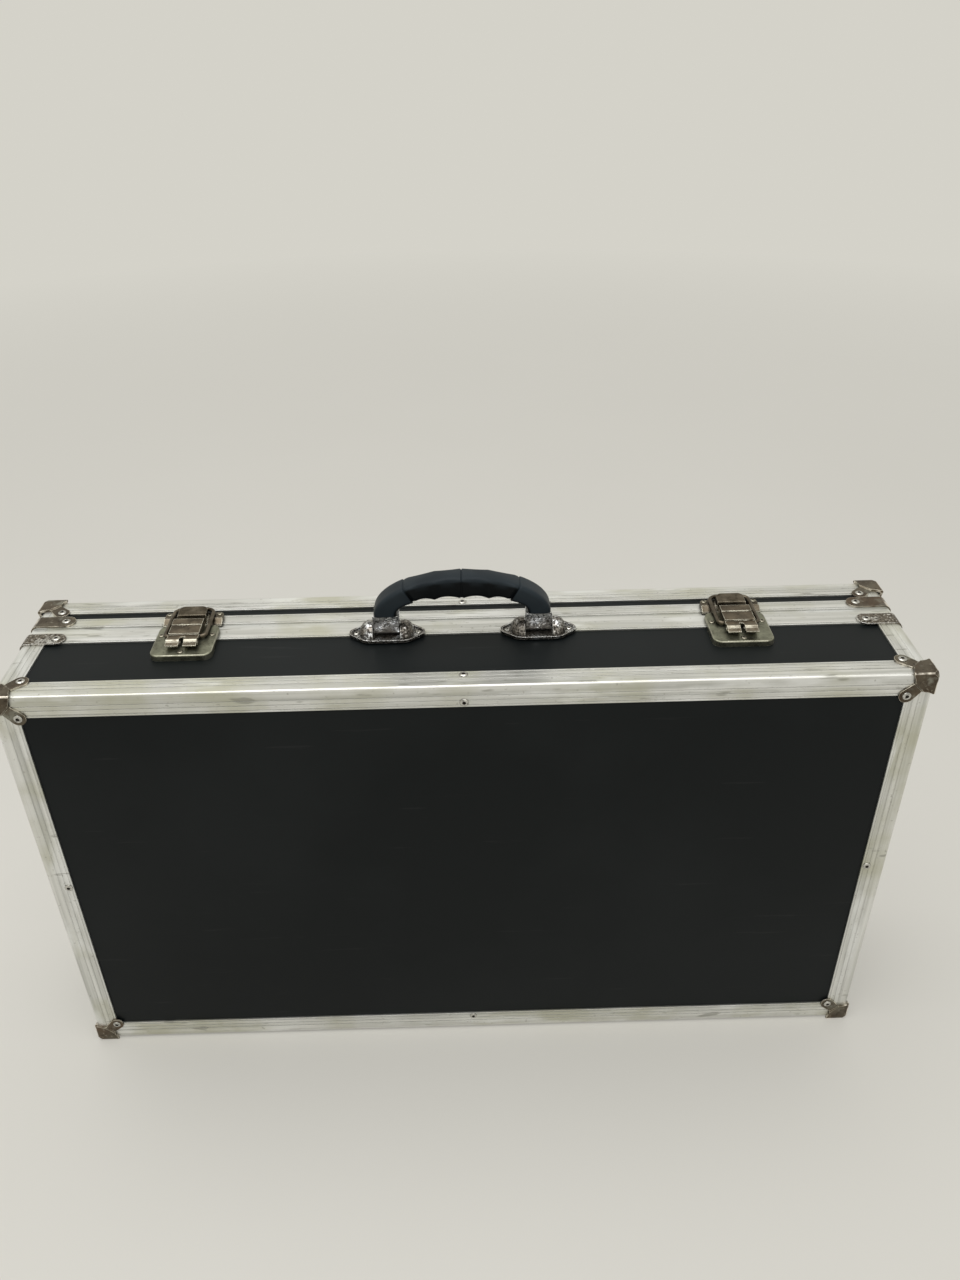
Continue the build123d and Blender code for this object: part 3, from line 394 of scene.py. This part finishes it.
def run_of(node):
    """The axis that an extrusion runs along: y at the corners, x above and below, z at the sides."""
    if "corner_angles" in node:
        return "y"
    return "x" if node.endswith(("top", "bottom")) else "z"


def finish_of(node):
    """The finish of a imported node, chosen by the words in its name."""
    if "_panel" in node or "_wall_" in node:
        return LAMINATE
    if "braces" in node:
        return NICKEL if node.startswith("base") else BRONZED
    if "corner_caps" in node:
        return BRONZED
    if "_angle" in node or "_rim_" in node:
        return ALUMINIUM[run_of(node)]
    if node.startswith(("handle_bracket", "handle_pins")):
        return CHROME
    if node.startswith("handle_clip"):
        return CLIP_CHROME
    if node.startswith("latch_plate_"):
        return PLATE_BRASS
    if node.startswith("latch_lever"):
        return BRASS
    if node.startswith("latch_"):
        return FITTING_BRASS
    return ZINC


for node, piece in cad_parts.items():
    piece.data.materials.clear()
    piece.data.materials.append(finish_of(node))

# ---------------------------------------------------------------------------------------------
# Surfaces
# ---------------------------------------------------------------------------------------------


def add_piece(name, points, faces, finish, body, nodes):
    """A smooth mesh from rows of points and faces, which rides on body and replaces nodes."""
    mesh = bpy.data.meshes.new(name)
    mesh.from_pydata(points.tolist(), [], [tuple(face) for face in faces])
    mesh.polygons.foreach_set("use_smooth", np.ones(len(mesh.polygons), bool))
    mesh.materials.append(finish)
    piece = bpy.data.objects.new(name, mesh)
    bpy.context.scene.collection.objects.link(piece)
    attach(piece, body)
    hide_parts(*nodes)
    return piece


def ring_faces(rings, sides):
    """Quads between rings of points that each close on themselves, ring after ring."""
    ring, side = np.meshgrid(np.arange(rings - 1), np.arange(sides), indexing="ij")
    after = (side + 1) % sides
    corners = [ring * sides + side, ring * sides + after]
    corners += [(ring + 1) * sides + after, (ring + 1) * sides + side]
    return np.stack(corners, axis=-1).reshape(-1, 4)


# ---------------------------------------------------------------------------------------------
# Rivets
# ---------------------------------------------------------------------------------------------

RIVET_SIDES = 20
DOME_SHARES = [1.0, 1.0, 0.95, 0.87, 0.76, 0.62, 0.48]
DOME_EDGE = 0.22
DOME_POWER = 0.6
PIT_SHARES = [0.42, 0.38, 0.34]
PIT_HEIGHTS = [0.86, 0.55, 0.12]
PIT_FLOOR = 0.08
PIT_RING = len(DOME_SHARES)


def rivet_head(radius, height):
    """A pop rivet's head as points and faces: a profile turned about Z, with a pit in its middle.

    Over its straight edge, which is e of the height, the dome stands e + (1 - e) (1 - s^2)^0.6 of the
    height at share s of the radius. The pit narrows from 0.42 to 0.34 of the radius.
    """
    share = np.array(DOME_SHARES + PIT_SHARES)
    dome = height * (DOME_EDGE + (1 - DOME_EDGE) * (1 - share**2) ** DOME_POWER)
    dome[0] = 0.0
    dome[PIT_RING:] = height * np.array(PIT_HEIGHTS)
    around = 2 * np.pi * np.arange(RIVET_SIDES) / RIVET_SIDES
    x = radius * np.outer(share, np.cos(around))
    y = radius * np.outer(share, np.sin(around))
    z = np.repeat(dome, RIVET_SIDES)
    rings = np.stack([x.ravel(), y.ravel(), z], axis=1)
    last = len(rings)
    points = np.vstack([rings, [0, 0, PIT_FLOOR * height], [0, 0, 0]])
    side = np.arange(RIVET_SIDES)
    after = (side + 1) % RIVET_SIDES
    top = last - RIVET_SIDES
    pit = np.stack([top + side, top + after, np.full_like(side, last)], axis=1)
    under = np.stack([after, side, np.full_like(side, last + 1)], axis=1)
    return points, ring_faces(len(share), RIVET_SIDES), np.vstack([pit, under])


def turned_to(outward):
    """A rotation whose third column is outward, one of the six axis directions."""
    third = np.array(outward, float)
    first = np.roll(np.abs(third), 1)
    return np.stack([first, np.cross(third, first), third], axis=1)


def make_rivets(node, seats, radius, height, body, finish):
    """One head at every seat, which is a point on a surface and its outward direction.

    The pit and its floor take the second material, dark as painted shade.
    """
    head, quads, fans = rivet_head(radius, height)
    points = [head @ turned_to(outward).T + np.array(place) for place, outward in seats]
    count = len(head)
    starts = count * np.arange(len(seats))
    faces = [*(quads + starts[:, None, None]).reshape(-1, 4)]
    faces += [*(fans + starts[:, None, None]).reshape(-1, 3)]
    name = f"{node}_heads"
    piece = add_piece(name, np.vstack(points), faces, finish, body, [node])
    piece.data.materials.append(SHADED_RIVET_PIT)
    pit_side = np.tile(np.arange(len(quads)) >= PIT_RING * RIVET_SIDES, len(seats))
    pit_floor = np.tile(np.arange(len(fans)) < RIVET_SIDES, len(seats))
    material_index = np.concatenate([pit_side, pit_floor]).astype(int)
    piece.data.polygons.foreach_set("material_index", material_index)


SHELL_RIVET = 3.4 * MM
SHELL_RISE = 1.2 * MM
CAP_LEG = 18.8 * MM
CAP_SHEET = 1.2 * MM
BRACE_HOLE = 26.5 * MM
MIDDLE_RIVET = 15 * MM


def shell_seats(shell):
    """Seats of a shell's rivets: three a corner cap, two a brace and two in the middle of a side."""
    inward = INWARD[shell]
    leg_y = FACE_Y[shell] + inward * CAP_LEG
    face_y = FACE_Y[shell] - inward * CAP_SHEET
    low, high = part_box(f"{shell}_rim_braces")
    brace_y = (low.y + high.y) / 2
    over_end = HALF_LENGTH + CAP_SHEET
    corner = [
        ((HALF_LENGTH - CAP_LEG, leg_y, TOP_Z + CAP_SHEET - MIDDLE_Z), (0, 0, 1)),
        ((HALF_LENGTH - CAP_LEG, face_y, TOP_Z - CAP_LEG - MIDDLE_Z), (0, -inward, 0)),
        ((over_end, leg_y, TOP_Z - CAP_LEG - MIDDLE_Z), (1, 0, 0)),
        ((HALF_LENGTH - BRACE_HOLE, brace_y, TOP_Z + CAP_SHEET - MIDDLE_Z), (0, 0, 1)),
        ((over_end, brace_y, TOP_Z - BRACE_HOLE - MIDDLE_Z), (1, 0, 0)),
    ]
    seats = []
    for x_sign in (1, -1):
        for z_sign in (1, -1):
            flip = np.array([x_sign, 1, z_sign])
            for place, outward in corner:
                seats.append((np.array(place) * flip + (0, 0, MIDDLE_Z), np.array(outward) * flip))
    side_y = FACE_Y[shell] + inward * MIDDLE_RIVET
    for sign, edge_z in ((1, TOP_Z), (-1, LOW_Z)):
        seats.append(((0, side_y, edge_z), (0, 0, sign)))
        seats.append(((0, FACE_Y[shell], edge_z - sign * MIDDLE_RIVET), (0, -inward, 0)))
        edge_x = sign * HALF_LENGTH
        seats.append(((edge_x, side_y, MIDDLE_Z), (sign, 0, 0)))
        seats.append(((edge_x - sign * MIDDLE_RIVET, FACE_Y[shell], MIDDLE_Z), (0, -inward, 0)))
    return seats


for shell in ("base", "lid"):
    make_rivets(f"{shell}_rivets", shell_seats(shell), SHELL_RIVET, SHELL_RISE, shell, RIVET)

SMALL_RIVET = 2.3 * MM
SMALL_RISE = 1.0 * MM
HANDLE_X = 60 * MM
HANDLE_HOLE = 24.5 * MM
LATCH_X = 218.5 * MM
PLATE_HOLE = 20 * MM
CATCH_HOLE = 20.3 * MM
BASE_ROW = -16.5 * MM
PLATE_END_ROW = -40.5 * MM
CATCH_ROW = 14 * MM
HANDLE_SPOTS = [(-HANDLE_HOLE, BASE_ROW), (HANDLE_HOLE, BASE_ROW)]
PLATE_SPOTS = [(-PLATE_HOLE, BASE_ROW), (PLATE_HOLE, BASE_ROW), (0, PLATE_END_ROW)]
CATCH_SPOTS = [(-CATCH_HOLE, CATCH_ROW), (CATCH_HOLE, CATCH_ROW)]


def small_rivets(node, body, finish, centres, spots):
    """Small heads at spots, each an X from every centre and a way from the seam along Y."""
    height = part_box(node)[0].z
    seats = [((x + dx, SEAM_Y + dy, height), (0, 0, 1)) for x in centres for dx, dy in spots]
    make_rivets(node, seats, SMALL_RIVET, SMALL_RISE, body, finish)


small_rivets("handle_rivets", "base", RIVET, (-HANDLE_X, HANDLE_X), HANDLE_SPOTS)
small_rivets("latch_plate_rivets", "base", DULL_RIVET, (-LATCH_X, LATCH_X), PLATE_SPOTS)
small_rivets("latch_catch_rivets", "lid", DULL_RIVET, (-LATCH_X, LATCH_X), CATCH_SPOTS)

HINGE_X = 230 * MM
HINGE_PITCH = 21 * MM
HINGE_RISE = 0.9 * MM


def hinge_seats(node):
    """Seats of the rivets of one row of hinge leaves, three a leaf, on the underside."""
    low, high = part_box(node)
    row_y = (low.y + high.y) / 2
    places = [x + step * HINGE_PITCH for x in (-HINGE_X, 0, HINGE_X) for step in (-1, 0, 1)]
    return [((x, row_y, high.z), (0, 0, -1)) for x in places]


for body in ("base", "lid"):
    node = f"hinge_{body}_rivets"
    make_rivets(node, hinge_seats(node), SMALL_RIVET, HINGE_RISE, body, ZINC)

# ---------------------------------------------------------------------------------------------
# The grip
# ---------------------------------------------------------------------------------------------

PIN_LOW, PIN_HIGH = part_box("handle_pins")
PIN_Y = (PIN_LOW.y + PIN_HIGH.y) / 2
PIN_Z = (PIN_LOW.z + PIN_HIGH.z) / 2
GRIP_SIDES = 48
GRIP_FOOT = 15.8 * MM
GRIP_OUTER = (69.2 * MM, 32.5 * MM, 1.93)
GRIP_INNER = (50.8 * MM, 13.4 * MM, 2.6)
GRIP_HALF_DEPTH = 10.2 * MM
CROWN_POWER = 0.3
CROWN_DOME = 0.1
CROWN_LEAN = 0.03
CROWN_FADE = 0.8 * MM
LEG_POWER = 0.36
LEG_SPREAD = 1.02
CREASE_X = 46 * MM
CREASE_DEPTH = 0.75 * MM
CREASE_WIDTH = 0.55 * MM
FINGER_SPAN = 21 * MM
FINGER_WAVE = 1.6 * MM
FINGER_HOLLOW = 0.16
FOOT_HEIGHTS = [-2.8, -2.2, 0, 3.5, 7.5, 12, 15.6, 15.75]
FOOT_HALF_DEPTHS = [0.4, 1.6, 2.8, 3.9, 5.2, 7.2, 7.4, 7.4]
# Rises in the grip's section above which it is painted lighter and below which painted shade.
PAINTED_LIGHT_CROWN = 0.72
PAINTED_LIGHT_HOLLOW = 0.25
PAINTED_LIGHT_LEG = -0.75
PAINTED_LIGHT_FADE = 0.16


def superellipse(angle, half_width, height, power):
    """Points of an arch: x = half_width cos^(2/power), z = height sin^(2/power) above the foot."""
    x = half_width * np.sign(np.cos(angle)) * np.abs(np.cos(angle)) ** (2 / power)
    return x, GRIP_FOOT + height * np.abs(np.sin(angle)) ** (2 / power)


def rounded_box(power):
    """Half a section, a box with rounded corners, from its top round the front to its underside.

    Its rise runs from 1 to -1 as |cos|^power and its depth goes out and back as |sin|^power.
    """
    around = np.linspace(0, np.pi, GRIP_SIDES // 2 + 1)
    rise = np.sign(np.cos(around)) * np.abs(np.cos(around)) ** power
    return rise, np.abs(np.sin(around)) ** power


def crown_section():
    """The grip's section over the fingers, domed on top, with sides that lean in underneath."""
    rise, depth = rounded_box(CROWN_POWER)
    domed = rise - CROWN_DOME * depth**2 * np.clip(rise, 0, 1)
    return domed, depth * (1 - CROWN_LEAN * (1 - rise))


def finger_swell(x):
    """1 in the middle of a finger's span and 0 between two: 1 - (2 f - 1)^2 at share f of it."""
    share = (x / FINGER_SPAN) % 1
    return 1 - (2 * share - 1) ** 2


def grip_arch():
    """Half sections over the arch, right leg to left: rows of X, Z, depth and painted light.

    They lie between two superellipses. At a distance d along the arch from one of its three
    creases, they shrink by CREASE_DEPTH exp(-(d / CREASE_WIDTH)^2). Over each finger, the underside
    rises and the sides draw in with finger_swell.
    """
    creases = [np.arccos(CREASE_X / GRIP_OUTER[0]), np.pi / 2]
    creases.append(np.pi - creases[0])
    even = np.linspace(0, np.pi, 181)
    close = [crease + np.linspace(-0.03, 0.03, 41) for crease in creases]
    angle = np.unique(np.concatenate([even, *close]))
    outer_x, outer_z = superellipse(angle, *GRIP_OUTER)
    inner_x, inner_z = superellipse(angle, *GRIP_INNER)
    over_fingers = np.clip((CREASE_X - np.abs(outer_x)) / CROWN_FADE + 0.5, 0, 1)
    inner_z = inner_z + over_fingers * FINGER_WAVE * finger_swell(inner_x)
    hollow = finger_swell(outer_x)[:, None]

    crown_rise, crown_depth = crown_section()
    crown_depth = crown_depth * (1 - FINGER_HOLLOW * hollow)
    leg_rise, leg_depth = rounded_box(LEG_POWER)
    leg_depth = LEG_SPREAD * leg_depth
    crown = over_fingers[:, None]
    rise = leg_rise + crown * (crown_rise - leg_rise)
    depth = GRIP_HALF_DEPTH * (leg_depth + crown * (crown_depth - leg_depth))

    off_crease = np.min([np.abs(angle - crease) for crease in creases], axis=0) * GRIP_OUTER[0]
    groove = CREASE_DEPTH * np.exp(-((off_crease / CREASE_WIDTH) ** 2))
    half_rise = np.hypot(outer_x - inner_x, outer_z - inner_z) / 2
    shrink = (1 - groove / half_rise)[:, None]
    x = (outer_x + inner_x)[:, None] / 2 + rise * shrink * (outer_x - inner_x)[:, None] / 2
    z = (outer_z + inner_z)[:, None] / 2 + rise * shrink * (outer_z - inner_z)[:, None] / 2
    depth = depth * (1 - groove / GRIP_HALF_DEPTH)[:, None]

    # Painted light: lighter above this rise of the section, painted shade below it.
    shade_limit = PAINTED_LIGHT_LEG + crown * (PAINTED_LIGHT_CROWN - PAINTED_LIGHT_HOLLOW * hollow - PAINTED_LIGHT_LEG)
    painted_light_share = np.clip((rise - shade_limit) / PAINTED_LIGHT_FADE + 0.5, 0, 1)
    return x, z, depth, painted_light_share


def grip_foot():
    """Half sections of the right leg's foot inside its clip, tip first: rows of X, Z and depth."""
    heights = np.array(FOOT_HEIGHTS)[:, None] * MM
    half_depths = np.array(FOOT_HALF_DEPTHS)[:, None] * MM
    rise, depth = rounded_box(LEG_POWER)
    middle = (GRIP_OUTER[0] + GRIP_INNER[0]) / 2
    half_width = (GRIP_OUTER[0] - GRIP_INNER[0]) / 2
    x = np.tile(middle + rise * half_width, (len(heights), 1))
    return x, np.tile(heights, (1, len(rise))), depth * half_depths


def closed_round(front, back):
    """Whole sections: the front half's row, then the back half's, without the two shared ends."""
    return np.hstack([front, back[:, -2:0:-1]])


def make_grip():
    """The grip: an arch over the fingers, a foot into each clip, painted lighter where it faces up."""
    foot_x, foot_z, foot_depth = grip_foot()
    x, z, depth, painted_light_share = grip_arch()
    x = np.vstack([foot_x, x, -foot_x[::-1]])
    z = np.vstack([foot_z, z, foot_z[::-1]])
    depth = np.vstack([foot_depth, depth, foot_depth[::-1]])
    rows = len(foot_x)
    painted_light_share = np.vstack([painted_light_share[:1].repeat(rows, 0), painted_light_share, painted_light_share[-1:].repeat(rows, 0)])
    y = closed_round(-depth, depth)
    points = np.stack([closed_round(x, x), y + PIN_Y, closed_round(z, z) + PIN_Z], axis=-1)
    quads = ring_faces(len(x), GRIP_SIDES)[:, ::-1]
    last = (len(x) - 1) * GRIP_SIDES
    ends = [list(range(GRIP_SIDES)), list(range(last, last + GRIP_SIDES))[::-1]]
    faces = [*quads, *ends]
    points = points.reshape(-1, 3)
    grip = add_piece("grip", points, faces, GRIP, "handle", ["handle_grip"])
    shade = grip.data.attributes.new("dust_and_painted_light", "FLOAT", "POINT")
    shade.data.foreach_set("value", closed_round(painted_light_share, painted_light_share).ravel())


make_grip()

# ---------------------------------------------------------------------------------------------
# Linings
# ---------------------------------------------------------------------------------------------


def lining_grid(node, step):
    """X and Z over a lining's face at about that step, and the Y of its panel side and its inside."""
    low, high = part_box(node)
    x = np.linspace(low.x, high.x, round((high.x - low.x) / step) + 1)
    z = np.linspace(low.z, high.z, round((high.z - low.z) / step) + 1)
    return (*np.meshgrid(x, z, indexing="ij"), low.y, high.y)


def edge_distance(x, z):
    """How far each point of a lining lies from its nearest edge."""
    return np.minimum(np.minimum(x - x.min(), x.max() - x), np.minimum(z - z.min(), z.max() - z))


def slab_piece(name, x, z, panel_y, inside_y, finish, body, node):
    """A closed slab between a flat back at panel_y and a front whose Y is given at every point."""
    rows, columns = x.shape
    front = np.stack([x, inside_y, z], axis=-1).reshape(-1, 3)
    back = np.stack([x, np.full_like(x, panel_y), z], axis=-1).reshape(-1, 3)
    row, column = np.meshgrid(np.arange(rows - 1), np.arange(columns - 1), indexing="ij")
    corner = (row * columns + column).ravel()
    front_faces = np.stack([corner, corner + 1, corner + columns + 1, corner + columns], axis=1)
    count = rows * columns
    border = [
        *range(columns),
        *range(2 * columns - 1, count, columns),
        *range(count - 2, count - columns - 1, -1),
        *range(count - 2 * columns, 0, -columns),
    ]
    border = np.array(border)
    after = np.roll(border, -1)
    walls = np.stack([border, after, after + count, border + count], axis=1)
    if inside_y.mean() < panel_y:
        front_faces = front_faces[:, ::-1]
    else:
        walls = walls[:, ::-1]
    back_faces = front_faces[:, ::-1] + count
    faces = [*front_faces, *back_faces, *walls]
    points = np.vstack([front, back])
    return add_piece(name, points, faces, finish, body, [node])


CARPET_STEP = 8 * MM
CARPET_SETTLE = 0.4 * MM
CARPET_WAVE = 0.35 * MM
CARPET_WEAR = 0.8 * MM
CARPET_WEAR_REACH = 3 * MM


def make_carpet():
    """The carpet on the base's panel: a flat sheet with a slight waviness and edges pressed down by
    wear.

    The waves are sin(21 x + 1) sin(27 z), and the wear fades as exp(-d / reach) away from the edge.
    """
    x, z, panel_y, inside_y = lining_grid("base_carpet", CARPET_STEP)
    wave = CARPET_WAVE * np.sin(x * 21 + 1) * np.sin(z * 27)
    wear_and_highlight = CARPET_WEAR * np.exp(-edge_distance(x, z) / CARPET_WEAR_REACH)
    pile = inside_y - CARPET_SETTLE + wave - wear_and_highlight
    carpet = slab_piece("carpet", x, z, panel_y, pile, CARPET, "base", "base_carpet")


FOAM_STEP = 3 * MM
FOAM_PITCH = 24 * MM
FOAM_RELIEF = 4.5 * MM
FOAM_BORDER = 6 * MM
FOAM_FADE = 14 * MM
FOAM_SETTLE = 0.3 * MM
FOAM_EDGE = 1.5 * MM
FOAM_EDGE_REACH = 2.5 * MM


def make_foam():
    """The lid's foam: an egg-crate face, which fades to a flat border with soft edges.

    The hollows are 0.5 - 0.5 cos(a) cos(b) of the relief deep, where a and b make one turn every
    pitch along X and Z.
    """
    x, z, inside_y, panel_y = lining_grid("lid_foam", FOAM_STEP)
    crests = np.cos(2 * np.pi * x / FOAM_PITCH) * np.cos(2 * np.pi * (z - MIDDLE_Z) / FOAM_PITCH)
    inland = np.clip((edge_distance(x, z) - FOAM_BORDER) / FOAM_FADE, 0, 1)
    soft_edge = FOAM_EDGE * np.exp(-edge_distance(x, z) / FOAM_EDGE_REACH)
    front = inside_y + FOAM_SETTLE + FOAM_RELIEF * (0.5 - 0.5 * crests) * inland + soft_edge
    foam = slab_piece("foam_lining", x, z, panel_y, front, FOAM, "lid", "lid_foam")


make_carpet()
make_foam()

# ---------------------------------------------------------------------------------------------
# Floor, lights and camera
# ---------------------------------------------------------------------------------------------


BACKDROP = (0.66, 0.645, 0.585)
FLOOR_REACH = 400.0
LIT_FLOOR = 0.9
PLAIN_FLOOR = 3.2
PLAIN_SHARE = 0.35
SKY = (0.8, 0.79, 0.77)
SKY_STRENGTH = 0.6
LAMP_TARGET = (0, 0, 0.2)


def background_ray(tree):
    """1 for rays that show the background as it is written: camera, glossy and transmission."""
    light = tree.nodes.new("ShaderNodeLightPath").outputs
    total = light["Is Camera Ray"]
    for kind in ("Is Glossy Ray", "Is Transmission Ray"):
        larger = tree.nodes.new("ShaderNodeMath")
        larger.operation = "MAXIMUM"
        tree.links.new(total, larger.inputs[0])
        tree.links.new(light[kind], larger.inputs[1])
        total = larger.outputs["Value"]
    return total


def make_floor():
    """A wide pale floor, which gives way to the plain backdrop from LIT_FLOOR to PLAIN_FLOOR out.

    Nearer than LIT_FLOOR it is PLAIN_SHARE backdrop already, which evens out the lamps' light.
    """
    finish = Finish("pale_floor", (0.7, 0.68, 0.62), 0.5)
    finish.coloured(finish.mixed(finish.noise(3, 3), (0.66, 0.645, 0.595), (0.7, 0.685, 0.635)))
    glow = finish.node("Emission", {"Color": BACKDROP, "Strength": 1.0})
    away = finish.node("VectorMath", {0: finish.place}, operation="LENGTH").outputs["Value"]
    outer = finish.between(away, LIT_FLOOR, PLAIN_FLOOR, PLAIN_SHARE, 1.0)
    share = finish.times(outer, background_ray(finish.tree))
    seen = finish.node("MixShader", {"Fac": share})
    finish.tree.links.new(finish.shader.outputs["BSDF"], seen.inputs[1])
    finish.tree.links.new(glow.outputs["Emission"], seen.inputs[2])
    output = finish.tree.nodes["Material Output"]
    finish.tree.links.new(seen.outputs["Shader"], output.inputs["Surface"])
    mesh = bpy.data.meshes.new("floor")
    half = FLOOR_REACH
    corners = [(-half, -half, 0), (half, -half, 0), (half, half, 0), (-half, half, 0)]
    mesh.from_pydata(corners, [], [(0, 1, 2, 3)])
    mesh.materials.append(finish.material)
    floor = bpy.data.objects.new("floor", mesh)
    bpy.context.scene.collection.objects.link(floor)


def make_lamp(name, place, size, watts):
    """A soft square lamp at place, facing the middle of the case."""
    lamp = bpy.data.objects.new(name, bpy.data.lights.new(name, "AREA"))
    lamp.data.size = size
    lamp.data.energy = watts
    lamp.location = place
    away = Vector(place) - Vector(LAMP_TARGET)
    lamp.rotation_euler = away.to_track_quat("Z", "Y").to_euler()
    bpy.context.scene.collection.objects.link(lamp)


def make_world():
    """An even pale sky, which the camera and the metal see as the plain backdrop."""
    world = bpy.data.worlds.new("studio")
    world.use_nodes = True
    tree = world.node_tree
    light = tree.nodes["Background"]
    light.inputs["Color"].default_value = (*SKY, 1)
    light.inputs["Strength"].default_value = SKY_STRENGTH
    plain = tree.nodes.new("ShaderNodeBackground")
    plain.inputs["Color"].default_value = (*BACKDROP, 1)
    seen = tree.nodes.new("ShaderNodeMixShader")
    tree.links.new(background_ray(tree), seen.inputs["Fac"])
    tree.links.new(light.outputs[0], seen.inputs[1])
    tree.links.new(plain.outputs[0], seen.inputs[2])
    tree.links.new(seen.outputs[0], tree.nodes["World Output"].inputs["Surface"])
    bpy.context.scene.world = world


CAMERA_PLACE = (0.0050, -0.6869, 0.8356)
CAMERA_HEADING = 0.708
CAMERA_PITCH = -32.90
CAMERA_ROLL = -1.061
CAMERA_LENS = 28.99


def make_camera():
    """The camera stands before the case at about twice its height and looks down on it."""
    camera = bpy.data.objects.new("camera", bpy.data.cameras.new("camera"))
    camera.data.lens = CAMERA_LENS
    camera.data.clip_start = 0.01
    camera.matrix_world = (
        Matrix.Translation(CAMERA_PLACE)
        @ Matrix.Rotation(radians(-CAMERA_HEADING), 4, "Z")
        @ Matrix.Rotation(radians(90 + CAMERA_PITCH), 4, "X")
        @ Matrix.Rotation(radians(CAMERA_ROLL), 4, "Z")
    )
    bpy.context.scene.collection.objects.link(camera)
    bpy.context.scene.camera = camera


make_floor()
make_lamp("ceiling_lamp", place=(-0.3, -0.1, 2.4), size=2.2, watts=38)
make_lamp("front_lamp", place=(0.6, -2.4, 1.6), size=2.0, watts=10)
make_world()
make_camera()
bpy.context.scene.view_settings.view_transform = "Standard"
